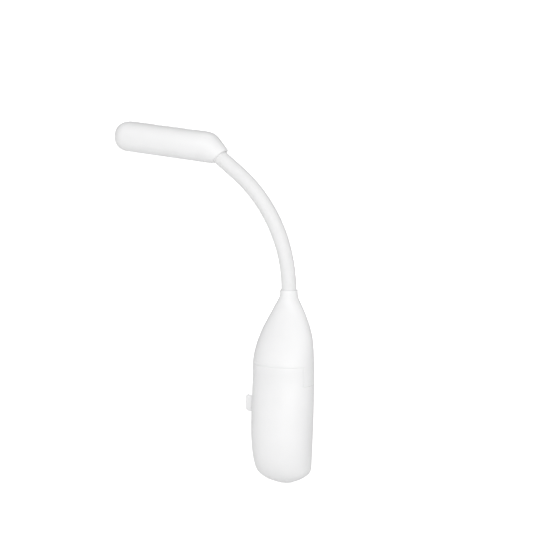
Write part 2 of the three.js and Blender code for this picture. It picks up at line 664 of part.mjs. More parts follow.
// Middle line of the jaw's plate in Y and Z: flat grip, a step out round what is gripped, hinge and lever.
function jawSpine() {
  const grip = GRIP_Y + PAD_SPACE / 2 + PAD_THICK + GAP;
  const arch = grip + 1.5;
  const hinge = PIVOT_Y + 2.1;
  const line = [
    [grip, JAW_FOOT], [grip, 12], [grip, 16.6], [arch - 0.25, 19.3], [arch, 21.5], [arch, 24], [arch, 30.5],
    [arch, 33], [hinge, 38], [hinge + 0.05, 44], [hinge + 0.6, 50], [hinge + 1.3, LEVER_TOP - 4],
    [hinge + 2, LEVER_TOP],
  ];
  const points = line.map(([y, z]) => new THREE.Vector3(0, y + JAW_THICK / 2, z));
  return new THREE.CatmullRomCurve3(points, false, 'centripetal');
}

function jawPlate() {
  const spine = jawSpine();
  const [steps, side] = [36, JAW_THICK / 2];
  const outer = [];
  const inner = [];
  for (let i = 0; i <= steps; i += 1) {
    const at = spine.getPoint(i / steps);
    const tangent = spine.getTangent(i / steps);
    outer.push(new THREE.Vector2(at.y + side * tangent.z, at.z - side * tangent.y));
    inner.push(new THREE.Vector2(at.y - side * tangent.z, at.z + side * tangent.y));
  }
  const profile = new THREE.Shape([...outer, ...inner.reverse()]);
  return prism(profile, 0, 2 * JAW_HALF_WIDTH).transform(sideways(-JAW_HALF_WIDTH));
}

// Outline seen from behind: rounded grip end, straight sides and a narrower rounded thumb end.
function jawOutline() {
  const [gripRound, thumbRound, thumbX, waist] = [3, 3.5, 1.2, JAW_HALF_WIDTH];
  const [gripX, gripZ, thumbZ] = [waist - gripRound, JAW_FOOT + gripRound, LEVER_TOP - thumbRound];
  const face = new THREE.Shape();
  face.absarc(gripX, gripZ, gripRound, -Math.PI / 2, 0);
  face.lineTo(waist, LEVER_WAIST_Z);
  face.lineTo(thumbX + thumbRound, thumbZ);
  face.absarc(thumbX, thumbZ, thumbRound, 0, Math.PI / 2);
  face.absarc(-thumbX, thumbZ, thumbRound, Math.PI / 2, Math.PI);
  face.lineTo(-waist, LEVER_WAIST_Z);
  face.lineTo(-waist, gripZ);
  face.absarc(-gripX, gripZ, gripRound, Math.PI, 1.5 * Math.PI);
  return prism(face.closePath(), -FAR, FAR).rotate([90, 0, 0]);
}

// The jaw's knuckles on the pin, each with a web to the plate, and the room left for the spring between them.
function clipJaw() {
  const [knuckleFrom, knuckleTo] = [SPRING_HALF + 0.85, EAR_INNER - 0.4];
  const webHalf = 1.6;
  const knuckle = unite(
    rod(EAR_RADIUS, [knuckleFrom, PIVOT_Y, PIVOT_Z], [knuckleTo, PIVOT_Y, PIVOT_Z], 24),
    block([knuckleFrom, PIVOT_Y, PIVOT_Z - webHalf], [knuckleTo, PIVOT_Y + 3.2, PIVOT_Z + webHalf]),
  );
  const well = pinRod(EAR_RADIUS + 0.4, EAR_OUTER + 2, 24);
  const legGroove = block(
    [SPRING_HALF - 0.75, PIVOT_Y, PIVOT_Z], [SPRING_HALF + 0.85, PIVOT_Y + 3, PIVOT_Z + SPRING_LEG + 1.5],
  );
  const plate = cut(jawPlate().intersect(jawOutline()), well, legGroove);
  return piece('clip_jaw', cut(unite(plate, knuckle, knuckle.mirror([1, 0, 0])), pinHole), WHITE_SHELL);
}

// A rubber pad from y0 outwards, grooved across its gripping face.
function gripPad(name, y0) {
  const face = y0 < GRIP_Y ? y0 + PAD_THICK : y0;
  const pad = prism(roundedRect(PAD_HALF_WIDTH, PAD_HALF_HEIGHT, 1.2), 0, PAD_THICK, 4)
    .rotate([90, 0, 0]).translate(0, y0 + PAD_THICK, GRIP_Z);
  const grooves = [-2, -1, 0, 1, 2].map((step) => {
    const z = GRIP_Z + step * PAD_RIB_STEP;
    return rod(0.28, [-6, face, z], [6, face, z], 6);
  });
  return piece(name, cut(pad, ...grooves), RUBBER);
}

function clipPin() {
  const reach = EAR_OUTER + 0.5;
  const head = rod(PIN_HEAD_RADIUS, [reach - GAP, PIVOT_Y, PIVOT_Z], [reach + 0.2, PIVOT_Y, PIVOT_Z], 20);
  return piece('clip_pin', unite(pinRod(PIN_RADIUS, reach), head), STEEL);
}

// Torsion spring round the pin: one leg on the body's back, the other in the jaw's groove.
class TorsionSpring extends THREE.Curve {
  getPoint(t, target = new THREE.Vector3()) {
    const legShare = 0.16;
    if (t < legShare) {
      const out = 1 - t / legShare;
      return target.set(-SPRING_HALF, PIVOT_Y - SPRING_COIL - 0.75 * out, PIVOT_Z + SPRING_LEG * out);
    }
    if (t > 1 - legShare) {
      const out = (t - 1 + legShare) / legShare;
      return target.set(SPRING_HALF, PIVOT_Y + SPRING_COIL + 0.25 * out, PIVOT_Z + SPRING_LEG * out);
    }
    const along = (t - legShare) / (1 - 2 * legShare);
    const angle = Math.PI + SPRING_TURNS * 2 * Math.PI * along;
    const x = THREE.MathUtils.lerp(-SPRING_HALF, SPRING_HALF, along);
    return target.set(x, PIVOT_Y + SPRING_COIL * Math.cos(angle), PIVOT_Z + SPRING_COIL * Math.sin(angle));
  }
}

function clipSpring() {
  return piece('clip_spring', wire(new TorsionSpring(), SPRING_WIRE, 62, 2), STEEL);
}

// ---------- head ----------

// Upper edge of the head's side view: the nozzle's slope, the rounded crest and the flat top.
function headUpperEdge() {
  const [fromX, fromZ] = NOZZLE_TOP;
  const climb = Math.atan2(CREST[1] - fromZ, fromX - CREST[0]);
  const tangent = CREST_RADIUS * Math.tan(climb / 2);
  const edge = new THREE.Path();
  edge.moveTo(fromX, fromZ);
  edge.lineTo(CREST[0] + tangent * Math.cos(climb), CREST[1] - tangent * Math.sin(climb));
  const centre = [CREST[0] - tangent, CREST[1] - CREST_RADIUS];
  edge.absarc(...centre, CREST_RADIUS, Math.PI / 2 - climb, Math.PI / 2);
  edge.lineTo(SHOULDER_X, HEAD_CENTRE_Z + HEAD_HALF_HEIGHT);
  return edge;
}

const headTopEdge = headUpperEdge();
const headBottomEdge = new THREE.LineCurve(
  new THREE.Vector2(...NOZZLE_BOTTOM), new THREE.Vector2(SHOULDER_X, HEAD_CENTRE_Z - HEAD_HALF_HEIGHT),
);

function headRing(top, bottom, halfWidth, roundness, sides) {
  const middle = top.clone().add(bottom).multiplyScalar(0.5);
  const reach = top.clone().sub(middle);
  const ring = [];
  for (let j = 0; j < sides; j += 1) {
    const angle = 2 * Math.PI * j / sides;
    const [c, s] = [Math.cos(angle), Math.sin(angle)];
    const power = THREE.MathUtils.lerp(2, HEAD_SECTION_POWER, roundness);
    const up = Math.sign(c) * Math.abs(c) ** (2 / power);
    const y = halfWidth * Math.sign(s) * Math.abs(s) ** (2 / power);
    ring.push(new THREE.Vector3(middle.x + reach.x * up, y, middle.y + reach.y * up));
  }
  return ring;
}

// The head's solid, inset by a wall thickness: nozzle, flare, straight barrel and rounded tip.
function headSolid(inset, flareSteps, tipSteps, sides) {
  const rings = [];
  const firstStep = inset > 0 ? Math.round(flareSteps * 0.4) : 0;
  for (let i = firstStep; i <= flareSteps; i += 1) {
    const t = i / flareSteps;
    const [top, bottom] = [headTopEdge.getPoint(t), headBottomEdge.getPoint(t)];
    const inward = top.clone().sub(bottom).normalize().multiplyScalar(inset);
    const flare = Math.sin(t * Math.PI / 2);
    const halfWidth = THREE.MathUtils.lerp(NOZZLE_HALF_WIDTH, HEAD_HALF_WIDTH, flare) - inset;
    rings.push(headRing(top.sub(inward), bottom.add(inward), halfWidth, t, sides));
  }
  const lastAngle = 0.47 * Math.PI;
  const capStart = HEAD_TIP_X + HEAD_CAP_DEPTH;
  for (let i = 0; i <= tipSteps; i += 1) {
    const depth = Math.sin(lastAngle * i / tipSteps);
    const shrink = (1 - depth ** HEAD_CAP_POWER) ** (1 / HEAD_CAP_POWER);
    const x = capStart - (HEAD_CAP_DEPTH - inset) * depth / Math.sin(lastAngle);
    const high = (HEAD_HALF_HEIGHT - inset) * shrink;
    const top = new THREE.Vector2(x, HEAD_CENTRE_Z + high);
    const bottom = new THREE.Vector2(x, HEAD_CENTRE_Z - high);
    rings.push(headRing(top, bottom, (HEAD_HALF_WIDTH - inset) * shrink, 1, sides));
  }
  return loft(rings);
}

// Direction of the neck's end piece in the head's frame, and the rotation that lays +Z along it.
const endLean = HEAD_END_ANGLE + HEAD_TILT;
const alongEnd = (w) => [-Math.sin(endLean) * w, 0, Math.cos(endLean) * w];

function windowSlot(grow, half, z0, z1) {
  return prism(slotShape(WINDOW_FROM + grow, WINDOW_TO - grow, half), z0, z1, 8);
}

const headOuter = headSolid(0, 8, 6, 28);

// An upright rod at one of the two screws that hold the LED board.
const headRod = (radius, x, z0, z1, sides) => rod(radius, [x, 0, z0], [x, 0, z1], sides);

function headShell() {
  const cavity = headSolid(HEAD_WALL, 5, 4, 20);
  const bore = rod(TAIL_RADIUS + GAP, alongEnd(4), alongEnd(END_LENGTH + 1.6), 20);
  const mouth = rod(NECK_RADIUS + GAP, alongEnd(-1), alongEnd(END_TAIL_FROM + GAP), 20);
  const forkPocket = block([-3.5, -4.3, HEAD_FORK_S - 0.4], [3.5, 4.5, HEAD_FORK_S + 1.1])
    .rotate([0, -THREE.MathUtils.radToDeg(endLean), 0]);
  const window = windowSlot(GAP, COVER_HALF + GAP, -5, LED_BOARD_Z);
  const walls = cut(headOuter, cavity, bore, forkPocket, mouth, window);
  const postFrom = LED_BOARD_Z + 1 + GAP;
  const postTo = HEAD_CENTRE_Z + HEAD_HALF_HEIGHT - HEAD_WALL / 2;
  const posts = HEAD_SCREW_X.map((x) => headRod(HEAD_POST_RADIUS, x, postFrom, postTo, 12));
  const pilots = HEAD_SCREW_X.map((x) => headRod(1.05, x, LED_BOARD_Z, LED_BOARD_Z + 5.6, 10));
  return piece('head_shell', cut(unite(walls, ...posts), ...pilots), WHITE_SHELL);
}

function lensAndFrame() {
  const opening = windowSlot(-LENS_INSET, LENS_HALF + GAP, -5, 5);
  const frame = cut(headOuter.intersect(windowSlot(0, COVER_HALF, -5, FRAME_THICK)), opening);
  const lens = headOuter.intersect(windowSlot(-LENS_INSET - GAP, LENS_HALF, -5, LENS_THICK));
  const filmFrom = FRAME_THICK + 0.2;
  const film = windowSlot(-0.8, COVER_HALF - 0.4, filmFrom, filmFrom + 0.2);
  return [
    piece('lens_frame', frame, WHITE_SHELL),
    piece('lens', lens, LENS),
    piece('diffuser_film', film, FILM),
  ];
}

function ledBoard() {
  const holes = HEAD_SCREW_X.map((x) => headRod(1.2, x, 0, HEAD_CENTRE_Z, 10));
  const board = cut(windowSlot(-0.4, COVER_HALF - 0.4, LED_BOARD_Z, LED_BOARD_Z + 1), ...holes);
  const pieces = [piece('led_board', board, BOARD)];
  for (let i = 0; i < LED_COUNT; i += 1) {
    const [x, top] = [LED_FIRST_X - LED_STEP * i, LED_BOARD_Z - 0.1];
    const led = block([x - LED_HALF, -LED_HALF, top - LED_THICK], [x + LED_HALF, LED_HALF, top]);
    pieces.push(piece(`led_${i + 1}`, led, PHOSPHOR));
  }
  HEAD_SCREW_X.forEach((x, i) => {
    const mesh = screw(`head_screw_${i + 1}`, 1.3, 0.75, 5.2);
    mesh.rotation.x = Math.PI;
    mesh.scale.z = 0.75;
    mesh.position.set(x, 0, LED_BOARD_Z - 0.1);
    pieces.push(mesh);
  });
  return pieces;
}

// A lead from the end of the neck's bore down to the LED board.
function headLead(name, side, material) {
  const start = alongEnd(END_LENGTH + 0.6);
  const [close, wide] = [0.55 * side, 2.97 * side];
  const route = new THREE.CatmullRomCurve3([
    new THREE.Vector3(start[0], close, start[2]),
    new THREE.Vector3(start[0] - 1.6, 3 * close, start[2]),
    new THREE.Vector3(-17.6, wide, 7.6),
    new THREE.Vector3(-19.2, wide, LED_BOARD_Z + 1.6),
  ]);
  return piece(name, wire(route, 0.38, 10, 3), material);
}

// The neck's last piece, fixed in the head: a ball on the pivot and a slim grooved tail.
function neckEnd() {
  const ball = linkOutline(0).slice(0, 5);
  const outline = [
    ...ball, [NECK_RADIUS, END_TAIL_FROM], [TAIL_RADIUS, END_TAIL_FROM], ...grooveOutline(END_GROOVE),
    [TAIL_RADIUS, END_LENGTH], [NECK_BORE, END_LENGTH], ball[0],
  ];
  const mesh = piece('neck_end', turned(outline, 20), NECK_SLEEVE);
  mesh.rotation.y = -endLean;
  return mesh;
}

function headGroup(pivot) {
  const head = new THREE.Group();
  head.position.set(pivot.x, 0, pivot.z);
  head.rotation.y = HEAD_TILT;
  const clamp = forkPlate('head_fork', 3.2, 4.2, 4.0);
  clamp.rotation.y = -endLean;
  clamp.position.set(...alongEnd(HEAD_FORK_S));
  head.add(
    headShell(), ...lensAndFrame(), ...ledBoard(), neckEnd(), clamp,
    headLead('head_lead_red', 1, LEAD_RED), headLead('head_lead_black', -1, LEAD_BLACK),
  );
  return head;
}

// ---------- assembly ----------

const lamp = new THREE.Group();
lamp.position.set(0, -GRIP_Y, -GRIP_Z);

lamp.add(
  piece('rear_housing', rearHousing(), WHITE_SHELL),
  piece('front_housing', frontHousing(), WHITE_SHELL),
  piece('battery_cover', batteryCover(), WHITE_SHELL),
  cell(1), cell(2), jumperContact(), negativeContact(), positiveContact(),
  ...electronics(), switchLeaf(), switchKnob(), housingScrew(1), housingScrew(2),
  lead('body_lead_red', 0.6, LEAD_RED), lead('body_lead_black', -0.6, LEAD_BLACK),
);

const bodyFork = forkPlate('body_fork', 3.3, 2.6, 4.0);
bodyFork.position.z = ANCHOR_GROOVE + GAP;
lamp.add(neckCollar(), neckAnchor(), bodyFork);

lamp.add(
  clipJaw(), clipPin(), clipSpring(),
  gripPad('body_pad', GRIP_Y - PAD_SPACE / 2 - PAD_THICK), gripPad('jaw_pad', GRIP_Y + PAD_SPACE / 2),
);

const chain = neckChain();
const linkSolid = turned(linkOutline(LINK_PITCH), 16);
chain.slice(0, LINK_COUNT).forEach((pivot, k) => {
  const link = piece(`neck_link_${k + 1}`, linkSolid, NECK_SLEEVE);
  link.position.set(pivot.x, 0, pivot.z);
  link.rotation.y = -pivot.lean;
  lamp.add(link);
});
lamp.add(headGroup(chain[LINK_COUNT]));

const group = new THREE.Group();
group.name = 'clip_on_reading_lamp';
group.add(lamp);

export default group;
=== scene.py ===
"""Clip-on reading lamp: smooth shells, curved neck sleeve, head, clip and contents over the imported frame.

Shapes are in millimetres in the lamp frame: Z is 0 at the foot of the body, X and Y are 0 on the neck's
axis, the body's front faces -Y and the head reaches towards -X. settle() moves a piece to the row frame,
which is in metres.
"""
import contextlib
from math import acos, asin, atan2, copysign, cos, degrees, pi, radians, sin, sqrt, tan

import bmesh
import bpy
import numpy as np
from mathutils import Matrix, Vector


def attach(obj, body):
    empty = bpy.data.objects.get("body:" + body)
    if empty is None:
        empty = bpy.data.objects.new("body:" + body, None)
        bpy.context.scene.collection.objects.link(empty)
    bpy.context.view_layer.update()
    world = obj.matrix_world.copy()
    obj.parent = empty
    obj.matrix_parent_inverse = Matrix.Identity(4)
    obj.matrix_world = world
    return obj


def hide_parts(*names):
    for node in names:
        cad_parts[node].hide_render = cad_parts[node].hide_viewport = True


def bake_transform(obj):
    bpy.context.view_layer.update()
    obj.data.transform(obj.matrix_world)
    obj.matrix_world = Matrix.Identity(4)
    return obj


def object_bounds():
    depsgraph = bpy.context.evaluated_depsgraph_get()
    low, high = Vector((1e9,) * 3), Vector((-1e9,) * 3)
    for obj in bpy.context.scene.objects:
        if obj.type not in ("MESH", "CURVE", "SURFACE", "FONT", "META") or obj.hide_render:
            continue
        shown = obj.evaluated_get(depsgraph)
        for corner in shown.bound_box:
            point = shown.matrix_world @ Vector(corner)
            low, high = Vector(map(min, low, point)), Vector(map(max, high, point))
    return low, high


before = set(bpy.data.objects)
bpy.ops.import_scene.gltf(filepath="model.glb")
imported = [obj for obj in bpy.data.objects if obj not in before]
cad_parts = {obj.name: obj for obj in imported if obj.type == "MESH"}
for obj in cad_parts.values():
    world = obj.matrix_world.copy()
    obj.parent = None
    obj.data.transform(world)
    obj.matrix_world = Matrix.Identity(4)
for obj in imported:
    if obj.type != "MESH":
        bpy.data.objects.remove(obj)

CAD_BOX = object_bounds()

# ---------- dimensions, as in the CAD source ----------

MM = 0.001
GRIP_Y, GRIP_Z = 6.8, 12.0
TO_ROW = Matrix.Scale(MM, 4) @ Matrix.Translation((0, -GRIP_Y, -GRIP_Z))

# Body: half width, front and height of its outline from the foot up; the back is nearly flat.
BODY_OUTLINE = [
    (3.9, -6.9, 0), (8.3, -11.3, 2), (11.8, -14.5, 5), (12.8, -17.1, 10), (13.4, -18.5, 18),
    (13.8, -17.8, 30), (13.8, -15.9, 45), (13.6, -15.3, 55), (11.85, -10.4, 65), (7.45, -5.6, 75),
    (4.5, -4.5, 80.4), (4.1, -4.1, 81.5),
]
BODY_TOP = 81.5
BODY_BACK = 5.0
BACK_TOP = 4.1
BACK_EASE_FROM = 68.0
FOOT_FILLET = 6.0
BODY_WALL = 1.6
SECTION_POWER = 2.15
SECTION_EASE = 12.0                # height below the top over which the section turns into a circle
PART_Y = -1.0                      # plane between front and rear shells
ISLAND_Y = -7.8                    # how far forward the rear housing reaches round the switch
COVER_TOP_Z = 52.8
COVER_SIDE_Z = 44.2
COVER_TOP_HALF = 12.2
GRAZING = 0.985                    # share of the half depth past which a plane counts as missing a section
SEAM = 0.020                       # half the width of a closed seam between two shells
SEAM_ROUND = 0.08                  # rounding of a shell's edge along a seam
SHELL_MERGE = 0.03                 # points of a shell closer than this are one

NECK_RADIUS = 3.33
NECK_BEND_RADIUS = 62.0
COLLAR_TOP = 84.3
COLLAR_RADIUS = 3.95
COLLAR_COUNTERBORE = 1.6
FIRST_JOINT = 3.2
LINK_PITCH = 8.5
LINK_COUNT = 7
HEAD_END_ANGLE = radians(53.0)
HEAD_ENTRY = 6.5                   # how far the sleeve runs on past the last pivot, into the nozzle
TAIL_RADIUS = 3.0

CELL_RADIUS, CELL_LENGTH, CELL_NUB = 5.1, 43.7, 0.8
CELL_X, CELL_Y, CELL_BOTTOM = 5.4, -6.2, 8.2
CELL_RECESS = 0.3                  # depth of the film's turned-over rim round the positive end
KNOB_Y, KNOB_Z, KNOB_TRAVEL, STEM_HEIGHT, STEM_HALF = -5.0, 33.95, 3.0, 5.0, 0.8
KNOB_HALF, KNOB_HALF_DEPTH, KNOB_REACH, KNOB_INNER, KNOB_ROUND = 3.75, 2.0, -18.0, -14.1, 1.35
SLOT_GAP = 0.3                     # clearance round the stem in its slot
SCREW_X, SCREW_Z, SCREW_BORE, SCREW_SEAT_Y, BOSS_RADIUS = 8.4, 58.5, 2.1, 0.9, 2.7

PAD_THICK, PAD_SPACE = 1.0, 0.4
PAD_BED = 0.38                     # what a pad's glue bed fills behind it, down into its seat
PIVOT_Y, PIVOT_Z = 8.2, 41.0
PIN_RADIUS, EAR_RADIUS, EAR_INNER, EAR_OUTER = 1.0, 2.2, 5.0, 6.4
JAW_HALF_WIDTH, JAW_THICK, LEVER_TOP, JAW_FOOT = 6.0, 1.9, 61.0, 6.4
LEVER_FROM, LEVER_HALF = 46.0, 4.7 # height where the jaw starts to narrow, half width at its thumb end
HINGE_Y = PIVOT_Y + 2.1            # inner face of the jaw beside its pin
LEVER_BEND = {50: 0.6, LEVER_TOP - 4: 1.3, LEVER_TOP: 2.0}  # how far the lever bends out, by height
KNUCKLE_X, KNUCKLE_GAP = 2.4, 0.4  # inner end of the jaw's knuckles, their clearance to the ears
SPRING_HALF, SPRING_RADIUS, SPRING_WIRE, SPRING_LEG, SPRING_TURNS = 1.55, 1.85, 0.3, 9.0, 4.5

HEAD_TILT = radians(4.7)
HEAD_CENTRE_Z, HEAD_HALF_HEIGHT, HEAD_HALF_WIDTH = 6.75, 6.8, 7.75
HEAD_TIP_X, HEAD_CAP_DEPTH = -56.35, 7.4
HEAD_CAP_POWER, HEAD_SECTION_POWER = 2.2, 2.4
NOZZLE_TOP, NOZZLE_BOTTOM = (-1.5, 6.65), (-7.6, -0.1)
CREST, CREST_RADIUS = (-9.1, 13.55), 9.0
NOZZLE_HALF_WIDTH, SHOULDER_X = 4.3, -20.0
CAP_START = HEAD_TIP_X + HEAD_CAP_DEPTH
WINDOW_FROM, WINDOW_TO, FRAME_HALF, LENS_HALF = -14.0, -52.0, 5.0, 3.4
FRAME_GAP = 0.28                   # clearance of the pocket round the lens frame
LED_COUNT, LED_FIRST_X, LED_STEP, LED_HALF, LED_BOARD_Z = 6, -20.5, 5.0, 1.4, 3.6
HEAD_SCREW_X = (-16.2, -49.8)

# Camera: degrees round from the front and above the horizon, metres from the point it looks at.
CAMERA_AZIMUTH, CAMERA_ELEVATION = 26, 9
CAMERA_DISTANCE = 0.9
CAMERA_TARGET = Vector((-0.00375, -0.00786, 0.07636))
CAMERA_LENS = 133.8
SENSOR_WIDTH = 36
FLOOR_DROP = 0.065                 # the lamp is held up by its clip, clear of the floor
FLOOR_HALF, FLOOR_GLOW = 15.0, 0.75
# The world's strength, by how far a direction points towards the camera: 1 at it, -1 away from it.
WORLD_STRENGTH = {"From Min": -0.75, "From Max": 0.3, "To Min": 0.18, "To Max": 0.84}


def smoothstep(t):
    t = np.clip(t, 0.0, 1.0)
    return t * t * (3 - 2 * t)


def lerp(a, b, t):
    return a + (b - a) * t


def signed_power(value, power):
    return copysign(abs(value) ** power, value)


def full_turn(count):
    """Evenly spaced angles round a circle."""
    return np.linspace(0, 2 * pi, count, endpoint=False)


# ---------- node materials ----------

class Nodes:
    """A short way to write a node tree."""

    def __init__(self, owner):
        owner.use_nodes = True
        self.tree = owner.node_tree

    def add(self, kind, inputs=None, **settings):
        node = self.tree.nodes.new("ShaderNode" + kind)
        for key, value in settings.items():
            setattr(node, key, value)
        for key, value in (inputs or {}).items():
            self.feed(node.inputs[key], value)
        return node

    def feed(self, socket, value):
        if isinstance(value, bpy.types.NodeSocket):
            self.tree.links.new(value, socket)
        else:
            socket.default_value = value


class Look(Nodes):
    """A material's node tree."""

    def __init__(self, name):
        self.material = bpy.data.materials.new(name)
        super().__init__(self.material)
        self.shader = self.tree.nodes["Principled BSDF"]
        self.place = self.add("TexCoord").outputs["Object"]

    def set(self, **values):
        for key, value in values.items():
            self.feed(self.shader.inputs[key.replace("_", " ")], value)

    def stretch(self, x, y, z):
        return self.add("Mapping", {"Vector": self.place, "Scale": (x, y, z)}).outputs["Vector"]

    def noise(self, scale, detail=3.0, roughness=0.5, where=None):
        node = self.add("TexNoise", {
            "Vector": where or self.place, "Scale": scale, "Detail": detail, "Roughness": roughness})
        return node.outputs["Fac"]

    def voronoi(self, scale, feature="F1", where=None):
        inputs = {"Vector": where or self.place, "Scale": scale}
        return self.add("TexVoronoi", inputs, feature=feature).outputs["Distance"]

    def bands(self, scale, direction):
        inputs = {"Vector": self.place, "Scale": scale, "Detail": 1.0}
        return self.add("TexWave", inputs, bands_direction=direction).outputs["Fac"]

    def math(self, operation, a, b):
        return self.add("Math", {0: a, 1: b}, operation=operation).outputs[0]

    def remap(self, value, low, high, to_low=0.0, to_high=1.0):
        node = self.add("MapRange", {
            "Value": value, "From Min": low, "From Max": high, "To Min": to_low, "To Max": to_high})
        return node.outputs["Result"]

    def spread(self, noise, to_low, to_high):
        """The middle of a noise's range, where nearly all of it lies, spread from one value to another."""
        return self.remap(noise, 0.3, 0.7, to_low, to_high)

    def mix(self, factor, a, b):
        return self.add("Mix", {"Factor": factor, 6: a, 7: b}, data_type="RGBA").outputs[2]

    def edges(self, share):
        """A share on convex edges, 0 elsewhere."""
        convex = self.remap(self.add("NewGeometry").outputs["Pointiness"], 0.51, 0.58)
        return self.math("MULTIPLY", convex, share)

    def bump(self, height, strength, distance, normal=None):
        inputs = {"Height": height, "Strength": strength, "Distance": distance}
        if normal:
            inputs["Normal"] = normal
        return self.add("Bump", inputs).outputs["Normal"]


def scaled(colour, factor):
    """A colour made lighter or darker."""
    return tuple(min(1.0, c * factor) for c in colour[:3]) + (1.0,)


def moulded_plastic(name, colour, worn, roughness, grain, coat):
    """Moulded plastic: faint cloudiness in the colour, fine spark-eroded grain, polished edges."""
    n = Look(name)
    base = n.mix(n.spread(n.noise(55, 4), 0.0, 1.0), colour, scaled(colour, 0.975))
    n.set(Base_Color=n.mix(n.edges(0.55), base, worn))
    rough = n.spread(n.noise(170, 5, 0.6), roughness - 0.04, roughness + 0.05)
    n.set(Roughness=n.math("SUBTRACT", rough, n.edges(0.06)))
    sink = n.bump(n.noise(90, 2), 0.08, 0.0004)
    n.set(Normal=n.bump(n.noise(5200, 2), grain, 0.00003, sink))
    n.set(Coat_Weight=coat, Coat_Roughness=0.12, IOR=1.5)
    return n.material


def silicone(name, colour):
    """Matt silicone sleeve: dusty clouding over a finely grained skin."""
    n = Look(name)
    dust = n.noise(420, 6, 0.65)
    base = n.mix(n.remap(dust, 0.35, 0.75), colour, scaled(colour, 0.965))
    base = n.mix(n.remap(n.noise(70, 3), 0.35, 0.65, 0.0, 0.35), base, scaled(colour, 1.03))
    n.set(Base_Color=base, Roughness=n.spread(dust, 0.46, 0.58))
    n.set(Normal=n.bump(n.noise(3600, 3), 0.16, 0.00004, n.bump(n.noise(260, 3), 0.1, 0.0002)))
    n.set(Sheen_Weight=0.12, Sheen_Roughness=0.5, IOR=1.43)
    return n.material


def rubber(name, colour):
    """Matt rubber: speckled, its surface finely pebbled."""
    n = Look(name)
    speck = n.noise(900, 5, 0.7)
    n.set(Base_Color=n.mix(n.remap(speck, 0.35, 0.7), colour, scaled(colour, 0.82)))
    n.set(Roughness=n.spread(speck, 0.72, 0.9))
    n.set(Normal=n.bump(n.voronoi(2600), 0.25, 0.00006))
    n.set(Sheen_Weight=0.2, Sheen_Roughness=0.6)
    return n.material


def drawn_metal(name, colour, dark, roughness):
    """Plated or drawn metal: long fine scratches, small stains, bright worn edges."""
    n = Look(name)
    scratch = n.noise(900, 3, 0.6, n.stretch(1.0, 6.0, 0.35))
    base = n.mix(n.remap(n.noise(240, 5, 0.6), 0.42, 0.75, 0.0, 0.7), colour, dark)
    n.set(Base_Color=n.mix(n.edges(0.6), base, scaled(colour, 1.15)))
    n.set(Roughness=n.spread(scratch, roughness - 0.08, roughness + 0.14))
    n.set(Normal=n.bump(scratch, 0.22, 0.00003), Metallic=1.0)
    return n.material


def circuit_board(name, mask, copper):
    """Solder mask over raised copper tracks, with tinned pads and a little flux haze."""
    n = Look(name)
    track = n.voronoi(620, "DISTANCE_TO_EDGE", n.stretch(1.0, 1.0, 0.55))
    track = n.remap(track, 0.02, 0.05, 1.0, 0.0)
    via = n.remap(n.voronoi(430), 0.1, 0.14, 1.0, 0.0)
    haze = n.noise(380, 5)
    base = n.mix(track, mask, tuple(lerp(m, c, 0.3) for m, c in zip(mask, copper)))
    base = n.mix(via, base, (0.72, 0.72, 0.7, 1))
    n.set(Base_Color=n.mix(n.remap(haze, 0.5, 0.8, 0.0, 0.25), base, (0.6, 0.6, 0.6, 1)))
    n.set(Roughness=n.spread(haze, 0.3, 0.5), Metallic=n.math("MULTIPLY", via, 0.8))
    n.set(Normal=n.bump(n.math("ADD", track, via), 0.5, 0.00004, n.bump(n.noise(3000, 2), 0.08, 0.00002)))
    return n.material


def cell_jacket(name, minus_z, plus_z):
    """Shrink film round a cell: silver band and pale stripe at the positive end, grey band at the other."""
    n = Look(name)
    height = n.add("SeparateXYZ", {"Vector": n.place}).outputs["Z"]
    along = n.remap(height, minus_z, plus_z)
    plus_band = n.remap(along, 0.79, 0.794)
    stripe = n.math("MULTIPLY", n.remap(along, 0.75, 0.753), n.remap(along, 0.767, 0.77, 1.0, 0.0))
    minus_band = n.remap(along, 0.075, 0.079, 1.0, 0.0)
    base = n.mix(n.spread(n.noise(1800, 4), 0.0, 0.4), (0.07, 0.16, 0.36, 1), (0.10, 0.21, 0.44, 1))
    base = n.mix(plus_band, base, (0.62, 0.63, 0.64, 1))
    base = n.mix(stripe, base, (0.85, 0.86, 0.88, 1))
    n.set(Base_Color=n.mix(minus_band, base, (0.5, 0.51, 0.52, 1)))
    n.set(Metallic=n.math("MULTIPLY", n.math("MAXIMUM", plus_band, minus_band), 0.6))
    n.set(Roughness=n.spread(n.noise(300, 4), 0.28, 0.36))
    n.set(Normal=n.bump(n.noise(420, 3, 0.5, n.stretch(1, 1, 0.2)), 0.06, 0.0001))
    n.set(Coat_Weight=0.5, Coat_Roughness=0.12)
    return n.material


def frosted(name, colour, roughness, transmission):
    """Frosted plastic in front of the LEDs: fine ribs across it, an etched texture and a faint clouding."""
    n = Look(name)
    etched = n.noise(5200, 3, 0.6)
    n.set(Base_Color=n.mix(n.spread(n.noise(160, 3), 0.0, 1.0), colour, scaled(colour, 0.98)))
    n.set(Roughness=n.spread(etched, roughness - 0.05, roughness + 0.06))
    n.set(Normal=n.bump(etched, 0.06, 0.00003, n.bump(n.bands(430.0, "X"), 0.12, 0.0001)))
    n.set(Transmission_Weight=transmission, IOR=1.49)
    return n.material


def plain_part(name, colour, mark, roughness, scale=900.0):
    """Small moulded or pressed part: speckle in colour, roughness and surface, paler edges."""
    n = Look(name)
    speck = n.noise(scale, 5, 0.65)
    base = n.mix(n.remap(speck, 0.4, 0.72), colour, mark)
    pale = tuple(min(1.0, c + 0.08) for c in colour[:3]) + (1.0,)
    n.set(Base_Color=n.mix(n.edges(0.4), base, pale))
    n.set(Roughness=n.spread(speck, roughness - 0.05, roughness + 0.1))
    n.set(Normal=n.bump(speck, 0.2, 0.00003))
    return n.material


